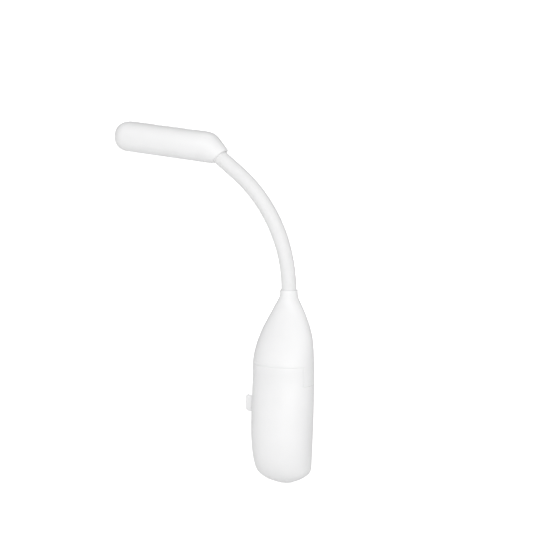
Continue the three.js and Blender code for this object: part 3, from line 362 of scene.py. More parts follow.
def phosphor(name):
    """LED face: grainy yellow phosphor under a clear coat."""
    n = Look(name)
    grain = n.noise(5200, 3)
    n.set(Base_Color=n.mix(n.remap(grain, 0.35, 0.7), (0.86, 0.68, 0.2, 1), (0.93, 0.8, 0.36, 1)))
    n.set(Roughness=n.spread(grain, 0.25, 0.4))
    n.set(Normal=n.bump(grain, 0.3, 0.00003))
    n.set(Coat_Weight=0.6, Coat_Roughness=0.1)
    return n.material


LOOKS = {
    "white_shell": (moulded_plastic, (0.875, 0.875, 0.878, 1), (0.93, 0.93, 0.93, 1), 0.46, 0.12, 0.06),
    "white_knob": (moulded_plastic, (0.88, 0.88, 0.885, 1), (0.94, 0.94, 0.94, 1), 0.4, 0.2, 0.0),
    "neck_sleeve": (silicone, (0.815, 0.815, 0.816, 1)),
    "grip_rubber": (rubber, (0.66, 0.665, 0.67, 1)),
    "steel": (drawn_metal, (0.72, 0.73, 0.74, 1), (0.5, 0.49, 0.48, 1), 0.36),
    "nickel": (drawn_metal, (0.66, 0.65, 0.6, 1), (0.45, 0.43, 0.38, 1), 0.26),
    "copper_wire": (drawn_metal, (0.72, 0.34, 0.16, 1), (0.4, 0.16, 0.07, 1), 0.3),
    "board_green": (circuit_board, (0.02, 0.12, 0.05, 1), (0.6, 0.42, 0.2, 1)),
    "board_white": (circuit_board, (0.8, 0.81, 0.79, 1), (0.66, 0.52, 0.34, 1)),
    "ferrite": (plain_part, (0.035, 0.035, 0.038, 1), (0.09, 0.088, 0.085, 1), 0.6),
    "chip_black": (plain_part, (0.018, 0.018, 0.02, 1), (0.04, 0.04, 0.042, 1), 0.45, 2200),
    "capacitor_tan": (plain_part, (0.36, 0.24, 0.12, 1), (0.27, 0.17, 0.08, 1), 0.45, 1600),
    "led_case": (plain_part, (0.84, 0.84, 0.82, 1), (0.74, 0.74, 0.72, 1), 0.4, 3000),
    "lead_red": (plain_part, (0.42, 0.025, 0.02, 1), (0.32, 0.02, 0.016, 1), 0.42, 1500),
    "lead_black": (plain_part, (0.02, 0.02, 0.022, 1), (0.045, 0.045, 0.048, 1), 0.42, 1500),
    "frosted_lens": (frosted, (0.95, 0.955, 0.96, 1), 0.36, 0.12),
    "diffuser": (frosted, (0.94, 0.94, 0.94, 1), 0.5, 0.35),
    "led_phosphor": (phosphor,),
}
MATERIALS = {name: make(name, *values) for name, (make, *values) in LOOKS.items()}

# The record's slot for each material; materials without one are details that the record doesn't name.
SLOTS = {name: name for name in MATERIALS if name not in ("led_case", "copper_wire")}
SLOTS.update(cell_jacket_1="cell_jacket", cell_jacket_2="cell_jacket")


# ---------- geometry helpers ----------

def add_object(name, data):
    obj = bpy.data.objects.new(name, data)
    bpy.context.scene.collection.objects.link(obj)
    return obj


@contextlib.contextmanager
def edited(data):
    """A mesh's contents to work on; they are written back at the end."""
    bm = bmesh.new()
    bm.from_mesh(data)
    yield bm
    bm.to_mesh(data)
    bm.free()


def mesh_piece(name, points, faces, merge=1e-4):
    """A mesh object in lamp millimetres from points and faces, with points closer than merge joined."""
    data = bpy.data.meshes.new(name)
    data.from_pydata([tuple(map(float, p)) for p in points], [], faces)
    with edited(data) as bm:
        bmesh.ops.remove_doubles(bm, verts=bm.verts, dist=merge)
        bmesh.ops.dissolve_degenerate(bm, edges=bm.edges, dist=merge)
        bmesh.ops.recalc_face_normals(bm, faces=bm.faces)
    return add_object(name, data)


def bake(obj):
    """Applies the object's modifiers."""
    bpy.context.view_layer.update()
    graph = bpy.context.evaluated_depsgraph_get()
    data = bpy.data.meshes.new_from_object(obj.evaluated_get(graph))
    obj.modifiers.clear()
    obj.data = data
    return obj


def bevel(obj, width, segments=2, angle=40.0):
    modifier = obj.modifiers.new("bevel", "BEVEL")
    modifier.width = width
    modifier.segments = segments
    modifier.limit_method = "ANGLE"
    modifier.angle_limit = radians(angle)
    modifier.use_clamp_overlap = False
    modifier.miter_outer = "MITER_ARC"
    return obj


def carve(obj, *cutters):
    """Cuts the cutters out of obj and deletes them."""
    for cutter in cutters:
        modifier = obj.modifiers.new("carve", "BOOLEAN")
        modifier.operation = "DIFFERENCE"
        modifier.solver = "EXACT"
        modifier.object = cutter
    bake(obj)
    for cutter in cutters:
        bpy.data.objects.remove(cutter)
    return obj


def join(name, *objs):
    """One object from several, each with its modifiers applied."""
    data = bpy.data.meshes.new(name)
    with edited(data) as bm:
        for obj in objs:
            bake(obj)
            obj.data.transform(obj.matrix_world)
            bm.from_mesh(obj.data)
            bpy.data.objects.remove(obj)
    return add_object(name, data)


def move(obj, matrix):
    obj.data.transform(matrix)
    return obj


def settle(obj, body, material, nodes=(), sharp=38.0, place=Matrix.Identity(4)):
    """Finishes a piece: modifiers, row frame, shading, material, body and the CAD nodes it stands for."""
    bake(obj)
    obj.data.transform(TO_ROW @ place)
    obj.data.polygons.foreach_set("use_smooth", [True] * len(obj.data.polygons))
    obj.data.set_sharp_from_angle(angle=radians(sharp))
    obj.data.materials.clear()
    obj.data.materials.append(MATERIALS[material])
    if body:
        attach(obj, body)
    if nodes:
        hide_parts(*nodes)
    return obj


def skin(rings, ends="capped"):
    """Points and faces of a surface through rings of equal point count, its ends capped, open or joined."""
    count = len(rings[0])
    points = [p for ring in rings for p in ring]
    total = len(points)
    faces = []
    for i in range(len(rings) if ends == "joined" else len(rings) - 1):
        for j in range(count):
            a, b = i * count + j, i * count + (j + 1) % count
            faces.append((a, b, (b + count) % total, (a + count) % total))
    if ends == "capped":
        faces.append(tuple(range(count))[::-1])
        faces.append(tuple(range(total - count, total)))
    return points, faces


def turned(name, profile, sides=48):
    """A solid turned about Z from a closed profile of (radius, height)."""
    rings = [[(r * cos(a), r * sin(a), z) for a in full_turn(sides)] for r, z in profile]
    return mesh_piece(name, *skin(rings, "joined"))


def rod(name, radius, start, end, sides=32, edge=0.0):
    """A rod between two points, its rims rounded by edge."""
    start, end = Vector(start), Vector(end)
    length = (end - start).length
    profile = [(0, 0), (radius, 0), (radius, length), (0, length)]
    if edge:
        rim = [(radius - edge, 0), (radius, edge)]
        profile[1:3] = rim + [(r, length - z) for r, z in reversed(rim)]
    turn = (end - start).to_track_quat("Z", "Y").to_matrix().to_4x4()
    return move(turned(name, profile, sides), Matrix.Translation(start) @ turn)


def block(name, low, high):
    corners = [(x, y, z) for z in (low[2], high[2]) for y in (low[1], high[1]) for x in (low[0], high[0])]
    faces = [(0, 2, 3, 1), (4, 5, 7, 6), (0, 1, 5, 4), (2, 6, 7, 3), (0, 4, 6, 2), (1, 3, 7, 5)]
    return mesh_piece(name, corners, faces)


def arc(centre, radius, start, stop, count):
    """Points of a plane arc; angles in degrees."""
    return [(centre[0] + radius * cos(a), centre[1] + radius * sin(a))
            for a in np.radians(np.linspace(start, stop, count))]


def plate(name, outline, low, high):
    """A flat outline in X-Y, extruded from Z low to high."""
    count = len(outline)
    points = [(x, y, low) for x, y in outline] + [(x, y, high) for x, y in outline]
    faces = [tuple(range(count))[::-1], tuple(range(count, 2 * count))]
    faces += [(j, (j + 1) % count, (j + 1) % count + count, j + count) for j in range(count)]
    return mesh_piece(name, points, faces)


def rounded_rect(half_width, half_height, radius, count=7):
    w, h = half_width - radius, half_height - radius
    return (arc((w, h), radius, 0, 90, count) + arc((-w, h), radius, 90, 180, count)
            + arc((-w, -h), radius, 180, 270, count) + arc((w, -h), radius, 270, 360, count))


def stadium(from_x, to_x, half):
    """A slot outline with points along its straight sides too."""
    left, right = min(from_x, to_x) + half, max(from_x, to_x) - half
    along = list(np.linspace(right, left, 30)[1:-1])
    return (arc((right, 0), half, -90, 90, 25) + [(x, half) for x in along]
            + arc((left, 0), half, 90, 270, 25) + [(x, -half) for x in reversed(along)])


# Lays a solid drawn in X-Y so that it lies in Y-Z, its thickness along X.
SIDEWAYS = Matrix(((0, 0, 1, 0), (1, 0, 0, 0), (0, 1, 0, 0), (0, 0, 0, 1)))
# Lays a solid drawn in X-Y so that it lies in X-Z, its thickness along -Y.
UPRIGHT = Matrix.Rotation(pi / 2, 4, "X")


def tube(name, path, radius, sides=12):
    """A tube along a path, with frames carried along it without twist."""
    path = [Vector(p) for p in path]
    last = len(path) - 1
    tangents = [(path[min(i + 1, last)] - path[max(i - 1, 0)]).normalized() for i in range(last + 1)]
    across = tangents[0].orthogonal().normalized()
    rings = []
    for at, tangent in zip(path, tangents):
        across = (across - tangent * across.dot(tangent)).normalized()
        other = tangent.cross(across)
        rings.append([at + across * radius * cos(a) + other * radius * sin(a)
                      for a in full_turn(sides)])
    return mesh_piece(name, *skin(rings))


def smooth_path(points, samples=12):
    """A centripetal curve through points, evenly stepped between each pair."""
    p = np.array(points, float)
    p = np.vstack([2 * p[0] - p[1], p, 2 * p[-1] - p[-2]])
    found = []
    for i in range(1, len(p) - 2):
        a, b, c, d = p[i - 1:i + 3]
        ab, bc, cd = (max(np.linalg.norm(step) ** 0.5, 1e-6) for step in (b - a, c - b, d - c))
        leave = ((b - a) / ab - (c - a) / (ab + bc) + (c - b) / bc) * bc
        reach = ((c - b) / bc - (d - b) / (bc + cd) + (d - c) / cd) * bc
        for t in np.linspace(0, 1, samples, endpoint=False):
            found.append(b + leave * t + (3 * (c - b) - 2 * leave - reach) * t ** 2
                         + (2 * (b - c) + leave + reach) * t ** 3)
    found.append(p[-2])
    return np.array(found)


# ---------- body shells ----------

OUTLINE = smooth_path(BODY_OUTLINE, 40)


def back_at(z):
    if z < FOOT_FILLET:
        rise = 1 - z / FOOT_FILLET
        return BODY_BACK - FOOT_FILLET * (1 - sqrt(max(0.0, 1 - rise * rise)))
    return lerp(BODY_BACK, BACK_TOP, smoothstep((z - BACK_EASE_FROM) / (BODY_TOP - BACK_EASE_FROM)))


def section(z):
    """Half width, middle, half depth and superellipse power of the body at a height."""
    half_width = np.interp(z, OUTLINE[:, 2], OUTLINE[:, 0])
    front = np.interp(z, OUTLINE[:, 2], OUTLINE[:, 1])
    back = back_at(z)
    power = 2 + (SECTION_POWER - 2) * smoothstep((BODY_TOP - z) / SECTION_EASE)
    return half_width, (front + back) / 2, (back - front) / 2, power


def body_point(z, angle):
    half_width, middle, depth, power = section(z)
    x = half_width * signed_power(cos(angle), 2 / power)
    y = depth * signed_power(sin(angle), 2 / power)
    return x, middle + y, z


def angle_at_y(z, y):
    """Angle on the right side where a section meets a plane of constant Y; its middle if it hardly does."""
    _, middle, depth, power = section(z)
    share = np.clip((y - middle) / depth, -1, 1)
    if abs(share) > GRAZING:
        return copysign(pi / 2, share)
    return asin(signed_power(share, power / 2))


def angle_at_x(z, x):
    """Angle on the right front where a section meets a plane of constant X; near its side if too narrow."""
    half_width, _, _, power = section(z)
    return -acos(min(x / half_width, 0.9) ** (power / 2))


def body_rows():
    foot = [0, 0.12, 0.3, 0.6, 1.0, 1.5, 2, 2.6, 3.3, 4.1, 5]
    low = list(np.linspace(6, COVER_SIDE_Z - 1, 36))
    side = [COVER_SIDE_Z - SEAM, COVER_SIDE_Z + SEAM]
    middle = list(np.linspace(COVER_SIDE_Z + 1, COVER_TOP_Z - 1, 7))
    top = [COVER_TOP_Z - SEAM, COVER_TOP_Z + SEAM]
    high = list(np.linspace(COVER_TOP_Z + 1, BODY_TOP, 38))
    return foot + low + side + middle + top + high


def body_patch(name, stations, rows, has_cell):
    """A skin over the body between stations, angles that depend on height.

    Each station is (start, stop, columns); has_cell(station number, low z, high z) says which faces exist.
    """
    columns = [(span, k / count) for span, (_, _, count) in enumerate(stations) for k in range(count)]
    columns.append((len(stations) - 1, 1.0))
    points = []
    for z in rows:
        edges = [(start(z), stop(z)) for start, stop, _ in stations]
        points += [body_point(z, lerp(*edges[span], t)) for span, t in columns]
    width = len(columns)
    faces = []
    for i in range(len(rows) - 1):
        for j in range(width - 1):
            if has_cell(columns[j][0], rows[i], rows[i + 1]):
                a = i * width + j
                faces.append((a, a + 1, a + width + 1, a + width))
    if rows[0] == 0:
        hub = len(points)
        points.append((0, section(0)[1], 0))
        faces += [(j, hub, j + 1) for j in range(width - 1)]
    obj = mesh_piece(name, points, faces, merge=SHELL_MERGE)
    with edited(obj.data) as bm:
        bmesh.ops.delete(bm, geom=[v for v in bm.verts if not v.link_faces], context="VERTS")
    return obj


def body_normal(point):
    """Outward direction of the body's surface at a point on it."""
    x, y, z = point
    half_width, middle, depth, power = section(z)
    if z < 1e-4:
        return Vector((0, 0, -1))
    sideways, deep = (signed_power(np.clip(share, -1, 1), power / 2)
                      for share in (x / half_width, (y - middle) / depth))
    angle, step = atan2(deep, sideways), 0.02
    round_it = Vector(body_point(z, angle + step)) - Vector(body_point(z, angle - step))
    low, high = max(z - 0.1, 0), min(z + 0.1, BODY_TOP)
    up = Vector(body_point(high, angle)) - Vector(body_point(low, angle))
    return round_it.cross(up).normalized()


def thicken(obj, wall):
    """Gives an open patch of the body an inner face and a rim."""
    with edited(obj.data) as bm:
        rim = [e for e in bm.edges if e.is_boundary]
        ends = [[(loop.vert, loop.link_loop_next.vert) for loop in e.link_loops][0] for e in rim]
        inner = {v: bm.verts.new(v.co - body_normal(v.co) * wall) for v in list(bm.verts)}
        for face in list(bm.faces):
            bm.faces.new([inner[v] for v in reversed(face.verts)])
        for a, b in ends:
            bm.faces.new([b, a, inner[a], inner[b]])
        bmesh.ops.recalc_face_normals(bm, faces=bm.faces)
    return obj


def shell(name, stations, rows, has_cell):
    """A patch of the body turned to face outwards, given its wall and rounded along its rim."""
    patch = body_patch(name, stations, rows, has_cell)
    middle = section(COVER_SIDE_Z)[1]
    facing = sum(p.area * (p.normal.x * p.center.x + p.normal.y * (p.center.y - middle))
                 for p in patch.data.polygons)
    if facing < 0:
        patch.data.flip_normals()
    return bevel(thicken(patch, BODY_WALL), SEAM_ROUND, 3)


def fixed(angle):
    return lambda z: angle


def right(crossing, place):
    """Station on the right side, where angle_at_x or angle_at_y meets a plane."""
    return lambda z: crossing(z, place)


def left(crossing, place, turn):
    """Its mirror image, counted from half a turn forward (pi) or back (-pi)."""
    return lambda z: turn - crossing(z, place)


def rear_housing():
    near, back = right(angle_at_y, PART_Y + SEAM), fixed(pi / 2)
    far, island = (left(angle_at_y, y + SEAM, pi) for y in (PART_Y, ISLAND_Y))
    housing = bake(shell("rear_housing", [(near, back, 22), (back, far, 22), (far, island, 12)], body_rows(),
                         lambda span, low, high: span < 2 or high < COVER_SIDE_Z))
    deep, high = STEM_HALF + SLOT_GAP, STEM_HEIGHT / 2 + SLOT_GAP
    slot = block("slot", (-20, KNOB_Y - deep, KNOB_Z - KNOB_TRAVEL - high),
                 (-9, KNOB_Y + deep, KNOB_Z + high))
    holes = [rod("hole", SCREW_BORE, (x, SCREW_SEAT_Y, SCREW_Z), (x, 12, SCREW_Z), 40)
             for x in (-SCREW_X, SCREW_X)]
    return carve(housing, bake(bevel(slot, 0.5, 4)), *holes)


def front_stations(half, left_flank, left_end, columns):
    """Stations from the right parting line round the front to a left end, the last with so many columns."""
    part, flank, front = right(angle_at_y, PART_Y - SEAM), right(angle_at_x, half), fixed(-pi / 2)
    return [(part, flank, 16), (flank, front, 20), (front, left_flank, 20), (left_flank, left_end, columns)]


def front_housing():
    half = COVER_TOP_HALF + SEAM
    left_flank, left_end = left(angle_at_x, half, -pi), left(angle_at_y, PART_Y - SEAM, -pi)
    stations = front_stations(half, left_flank, left_end, 16)
    return shell("front_housing", stations, [z for z in body_rows() if z > COVER_SIDE_Z],
                 lambda span, low, high: span in (0, 3) or low > COVER_TOP_Z)


def battery_cover():
    half = COVER_TOP_HALF - SEAM
    straight, left_end = left(angle_at_x, half, -pi), left(angle_at_y, ISLAND_Y - SEAM, -pi)

    def left_flank(z):
        """Keeps the flank short of the left end, which swings to the front near the foot."""
        return max(straight(z), lerp(-pi / 2, left_end(z), 0.85))

    stations = front_stations(half, left_flank, left_end, 6)
    return shell("battery_cover", stations, [z for z in body_rows() if z < COVER_TOP_Z],
                 lambda span, low, high: span in (1, 2) or high < COVER_SIDE_Z)


def hinge_ears():
    """Two ears that hold the clip's pin, and the raised seat of the body's pad."""
    outline = [(2.2, PIVOT_Z - 5.5), (BODY_BACK - 0.5, PIVOT_Z - 4.6)]
    outline += arc((PIVOT_Y, PIVOT_Z), EAR_RADIUS, -126, 126, 24)
    outline += [(BODY_BACK - 0.5, PIVOT_Z + 4.6), (2.2, PIVOT_Z + 5.5)]
    ears = [bevel(move(plate("ear", outline, x, x + EAR_OUTER - EAR_INNER), SIDEWAYS), 0.22, 2)
            for x in (EAR_INNER, -EAR_OUTER)]
    seat = plate("seat", rounded_rect(5.6, 5.4, 1.4), -BODY_BACK - 0.3, -2.5)
    seat = bevel(move(seat, Matrix.Translation((0, 0, GRIP_Z)) @ UPRIGHT), 0.2, 2)
    return join("clip_mount", seat, *ears)


def screw_bosses():
    bosses = [rod("boss", BOSS_RADIUS, (x, PART_Y + 0.15, SCREW_Z), (x, 1.3, SCREW_Z), 40, 0.15)
              for x in (-SCREW_X, SCREW_X)]
    return join("screw_bosses", *bosses)


def cover_latch():
    tongue = block("tongue", (-4, -15.0, COVER_TOP_Z - 6), (4, -13.0, COVER_TOP_Z + 2.6))
    return bevel(tongue, 0.35, 3)


def build_body():
    for piece, body, nodes in (
            (rear_housing(), "body", ["rear_housing"]), (hinge_ears(), "body", []),
            (screw_bosses(), "body", []), (front_housing(), "body", ["front_housing"]),
            (battery_cover(), "cover", ["battery_cover"]), (cover_latch(), "cover", [])):
        settle(piece, body, "white_shell", nodes)


# ---------- body contents ----------

def upside_down(x, y, z):
    """Places a piece drawn standing on Z 0 so that it hangs from a point."""
    return Matrix.Translation((x, y, z)) @ Matrix.Rotation(pi, 4, "X")


def cell(number):
    """An AAA cell: beaded can, shrink film turned over its ends, raised positive nub."""
    r, length, rim = CELL_RADIUS, CELL_LENGTH, CELL_LENGTH - CELL_RECESS
    can = turned(f"battery_{number}", [
        (0, 0.25), (3.1, 0.25), (3.4, 0.0), (r - 0.45, 0.0), (r - 0.12, 0.1), (r, 0.4),
        (r, length - 0.4), (r - 0.12, length - 0.1), (r - 0.45, length), (r - 0.9, length - 0.05),
        (2.9, rim), (0, rim),
    ], 64)
    nub = turned(f"battery_{number}_nub", [
        (0, rim), (1.9, rim), (1.9, rim + CELL_NUB), (1.6, length + CELL_NUB - 0.05),
        (1.3, length + CELL_NUB), (0, length + CELL_NUB),
    ], 48)
    if number == 1:
        place = Matrix.Translation((-CELL_X, CELL_Y, CELL_BOTTOM))
    else:
        place = upside_down(CELL_X, CELL_Y, CELL_BOTTOM + length)
    minus_end, plus_end = (TO_ROW @ place @ Vector((0, 0, z)) for z in (0, length))
    jacket = f"cell_jacket_{number}"
    MATERIALS[jacket] = cell_jacket(jacket, minus_end.z, plus_end.z)
    settle(can, "body", jacket, [f"battery_{number}"], place=place)
    settle(nub, "body", "nickel", place=place)


def contact_coil(x, z0, height):
    """A conical contact spring of three turns."""
    path = []
    for t in np.linspace(0, 1, 90):
        radius, angle = 3.4 - 1.9 * t, 6 * pi * t
        path.append((x + radius * cos(angle), CELL_Y + radius * sin(angle), z0 + height * t))
    return tube("coil", path, 0.25, 8)


def contact_plate(name, x, half_width, half_depth, z):
    obj = plate(name, rounded_rect(half_width, half_depth, 1.1), z, z + 0.4)
    return bevel(move(obj, Matrix.Translation((x, CELL_Y, 0))), 0.1, 2)


def build_contacts():
    """Under the cells a jumper with a button and a spring; above them a spring and a flat contact."""
    dome = [(0, 5.5), (2.2, 5.5), (2.1, 5.9), (1.8, 6.7), (1.4, 7.05), (0.9, 7.1), (0, 7.1)]
    button = move(turned("button", dome, 32), Matrix.Translation((CELL_X, CELL_Y, 0)))
    jumper = join("jumper_contact", contact_plate("plate", 0, 8.0, 2.8, 5.4), button,
                  contact_coil(-CELL_X, 5.85, 1.9))
    settle(jumper, "body", "nickel", ["jumper_contact"])
    z = CELL_BOTTOM + CELL_LENGTH + 2.9
    negative = join("negative_contact", contact_plate("plate", CELL_X, 4.2, 3.4, z),
                    contact_coil(CELL_X, z + 0.05, -2.35))
    settle(negative, "body", "nickel", ["negative_contact"])
    z = CELL_BOTTOM + CELL_LENGTH + CELL_NUB + 0.3
    settle(contact_plate("positive_contact", -CELL_X, 4.2, 3.4, z), "body", "nickel", ["positive_contact"])


def screw(name, head_radius, shank_radius, length):
    """A pan-head screw standing on Z 0 with a cross recess and a threaded shank."""
    head = turned(name, [
        (0, 0), (head_radius, 0), (head_radius, 0.75), (head_radius - 0.12, 1.0), (head_radius - 0.5, 1.22),
        (0.5, 1.3), (0, 1.3),
    ], 48)
    carve(head, *(block("arm", (-x, -y, 0.7), (x, y, 2)) for x, y in ((1.05, 0.22), (0.22, 1.05))))
    thread = [(0, 0.05), (shank_radius, 0.05)]
    pitch, groove = 0.5, 0.22
    for k in range(int((length - 1) / pitch)):
        thread += [(shank_radius - deep, -pitch * k - z)
                   for deep, z in ((0, 0.05), (groove, 0.2), (groove, 0.3), (0, 0.45))]
    thread += [(shank_radius * 0.4, -length), (0, -length)]
    return join(name, head, turned("thread", thread, 24))


CARRIED = {
    "main_circuit_board": "board_green", "boost_inductor": "ferrite", "driver_chip": "chip_black",
    "capacitor": "capacitor_tan", "switch_leaf": "nickel", "body_fork": "steel", "head_fork": "steel",
    "body_lead_red": "lead_red", "body_lead_black": "lead_black", "head_lead_red": "lead_red",
    "head_lead_black": "lead_black", "diffuser_film": "diffuser", "led_board": "board_white",
}


def dress_carried():
    """Gives the CAD pieces that the visual model keeps their materials."""
    for name, material in CARRIED.items():
        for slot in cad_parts[name].material_slots:
            slot.material = MATERIALS[material]


def build_contents():
    cell(1)
    cell(2)
    build_contacts()
    for number, x in ((1, -SCREW_X), (2, SCREW_X)):
        name = f"housing_screw_{number}"
        place = Matrix.Translation((x, SCREW_SEAT_Y + 0.3, SCREW_Z)) @ Matrix.Rotation(-pi / 2, 4, "X")
        settle(screw(name, 1.75, 0.95, 6.5), "body", "steel", [name], place=place)
    dress_carried()
    build_board_details()


def build_board_details():
    """Chip legs, capacitor ends, solder joints and the inductor's winding; the board faces -Y at Y 1.0."""
    legs = []
    for side, out in ((1.2, -0.35), (4.8, 0.35)):
        for z in (57.0 + 1.15 * k for k in range(4)):
            path = [(side + out * reach, y, z)
                    for reach, y in ((0, 0.3), (1, 0.35), (1.4, 0.8), (2.4, 0.93))]
            legs.append(tube("leg", smooth_path(path, 4), 0.16, 8))
    settle(join("chip_legs", *legs), "body", "nickel")
    ends = [bevel(block("end", (1.5, -0.55, z), (4.5, 0.85, z + 0.5)), 0.1, 2) for z in (50.3, 52.3)]
    settle(join("capacitor_ends", *ends), "body", "nickel")
    joints = []
    for x, z in ((-1.2, 62.1), (1.2, 62.1), (-4.2, 50), (4.2, 26), (-4.2, 34), (-2.8, 24), (0.4, 46)):
        dome = turned("joint", [(0, 0)] + arc((0, 0), 0.75, 0, 90, 7), 20)
        joints.append(move(dome, Matrix.Translation((x, 1.02, z)) @ UPRIGHT))
    settle(join("solder_joints", *joints), "body", "nickel")
    radius, wound = 2.25, 7 * 2 * pi
    winding = [(-2.4 + radius * cos(a), -0.75 - 0.8 * a / wound, 58.5 + radius * sin(a))
               for a in np.linspace(0, wound, 200)]
    settle(tube("inductor_winding", winding, 0.12, 6), "body", "copper_wire")


def knob_cap():
    """Cap of the slide knob: a block whose outer face rolls off all round, with four grip grooves."""
    rings = []
    for angle in (-1, *np.linspace(0, 90, 12)):
        roll = radians(max(angle, 0))
        inset = KNOB_ROUND * (1 - cos(roll))
        x = KNOB_INNER if angle < 0 else KNOB_REACH + KNOB_ROUND * (1 - sin(roll))
        outline = rounded_rect(KNOB_HALF_DEPTH - 0.7 * inset, KNOB_HALF - inset, 1.1 - 0.5 * inset, 9)
        rings.append([Vector((x, KNOB_Y + y, KNOB_Z + z)) for y, z in outline])
    cap = mesh_piece("switch_knob", *skin(rings))
    grooves = []
    for dz in (-1.35, -0.45, 0.45, 1.35):
        ends = [(KNOB_REACH - 0.1, KNOB_Y + dy, KNOB_Z + dz) for dy in (-3, 3)]
        grooves.append(rod("groove", 0.28, *ends, 20))
    return carve(cap, *grooves)


def build_knob():
    """Slide knob: cap, stem through the slot and a flange that holds it behind the wall."""
    stem = block("stem", (KNOB_INNER - 0.3, KNOB_Y - STEM_HALF, KNOB_Z - STEM_HEIGHT / 2),
                 (-11, KNOB_Y + STEM_HALF, KNOB_Z + STEM_HEIGHT / 2))
    flange = block("flange", (-11.45, KNOB_Y - 1.6, KNOB_Z - 3.5), (-10.8, KNOB_Y + 1.6, KNOB_Z + 3.5))
    knob = join("switch_knob", knob_cap(), bevel(stem, 0.15), bevel(flange, 0.15))
    settle(knob, "switch", "white_knob", ["switch_knob"])


# ---------- neck ----------

def build_collar():
    """Turned collar: small foot bead, straight side, rounded rim and a counterbore for the sleeve's end."""
    r, base, top = COLLAR_RADIUS, BODY_TOP - 0.02, COLLAR_TOP
    bore, mouth = TAIL_RADIUS + 0.3, NECK_RADIUS + 0.12
    profile = [
        (bore, base), (r + 0.13, base), (r + 0.13, base + 0.02), (r + 0.06, base + 0.3), (r, base + 0.7),
        (r, top - 0.4), (r - 0.05, top - 0.2), (r - 0.18, top - 0.06), (r - 0.34, top), (mouth + 0.14, top),
        (mouth + 0.03, top - 0.05), (mouth, top - 0.16), (mouth, top - COLLAR_COUNTERBORE),
        (bore, top - COLLAR_COUNTERBORE),
    ]
    settle(turned("neck_collar", profile, 72), "body", "white_shell", ["neck_collar"])


def neck_line(s):
    """Point and lean of the neck's centre line, s millimetres above the collar: bent, then straight."""
    bend = NECK_BEND_RADIUS * HEAD_END_ANGLE
    lean = min(max(s, 0), bend) / NECK_BEND_RADIUS
    x = -NECK_BEND_RADIUS * (1 - cos(lean))
    z = COLLAR_TOP + NECK_BEND_RADIUS * sin(lean)
    extra = s - bend if s > bend else min(s, 0)
    return Vector((x - extra * sin(lean), 0, z + extra * cos(lean))), lean


def neck_ring(s, sides):
    at, lean = neck_line(s)
    across = Vector((cos(lean), 0, sin(lean)))
    return [at + across * NECK_RADIUS * cos(a) + Vector((0, NECK_RADIUS * sin(a), 0))
            for a in full_turn(sides)]


def build_neck():
    """The sleeve in eight curved lengths, each of which spans one pivot, from link middle to link middle."""
    last = LINK_COUNT
    pivots = [FIRST_JOINT + LINK_PITCH * k for k in range(last + 1)]
    ends = [0.05 - COLLAR_COUNTERBORE, *(pivot + LINK_PITCH / 2 for pivot in pivots[:-1]),
            pivots[-1] + HEAD_ENTRY]
    for k, pivot in enumerate(pivots):
        rings = [neck_ring(s, 56) for s in np.linspace(ends[k], ends[k + 1], 26)]
        points, faces = skin(rings, "open")
        count, total = len(rings[0]), len(points)
        if k == 0:
            faces.append(tuple(range(count))[::-1])
        if k == last:
            faces.append(tuple(range(total - count, total)))
        nodes = [f"neck_link_{k}" if k else "neck_anchor"] + ["neck_end"] * (k == last)
        sleeve = mesh_piece(f"neck_sleeve_{k + 1}", points, faces)
        settle(sleeve, None, "neck_sleeve", nodes, sharp=60)
        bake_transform(sleeve)


# ---------- clip ----------

def jaw_half_width(z):
    """Half width of the jaw at a height: round grip end, straight sides, narrower round thumb end."""
    foot_radius = JAW_HALF_WIDTH / 2
    if z < JAW_FOOT + foot_radius:
        return foot_radius + sqrt(max(0.0, foot_radius ** 2 - (JAW_FOOT + foot_radius - z) ** 2))
    if z < LEVER_FROM:
        return JAW_HALF_WIDTH
    shoulder, tip_radius = LEVER_TOP - 3.4, 3.5
    if z < shoulder:
        return lerp(JAW_HALF_WIDTH, LEVER_HALF, (z - LEVER_FROM) / (shoulder - LEVER_FROM))
    return LEVER_HALF - tip_radius + sqrt(max(0.0, tip_radius ** 2 - (z - shoulder) ** 2))


def jaw_plate():
    """The jaw's bent plate: rounded-edged sections along its spine, which arches over the body's back."""
    inner = GRIP_Y + PAD_SPACE / 2 + PAD_THICK + 0.3
    arch, half = inner + 1.5, JAW_THICK / 2
    line = [(inner, JAW_FOOT), (inner, 12), (inner, 16.6), (arch - 0.25, 19.3), (arch, 21.5), (arch, 24),
            (arch, 30.5), (arch, 33), (HINGE_Y, 38), (HINGE_Y + 0.05, 44)]
    line += [(HINGE_Y + bend, z) for z, bend in LEVER_BEND.items()]
    spine = smooth_path([(0, y + half, z) for y, z in line], 14)
    rings = []
    for i, at in enumerate(spine):
        ahead = Vector(spine[min(i + 1, len(spine) - 1)] - spine[max(i - 1, 0)]).normalized()
        out = Vector((0, ahead.z, -ahead.y))
        ring = rounded_rect(jaw_half_width(at[2]), half, 0.55, 5)
        rings.append([Vector(at) + Vector((x, 0, 0)) + out * t for x, t in ring])
    return mesh_piece("jaw_plate", *skin(rings))


def pivot_rod(name, radius, from_x, to_x, sides=48, edge=0.0):
    return rod(name, radius, (from_x, PIVOT_Y, PIVOT_Z), (to_x, PIVOT_Y, PIVOT_Z), sides, edge)


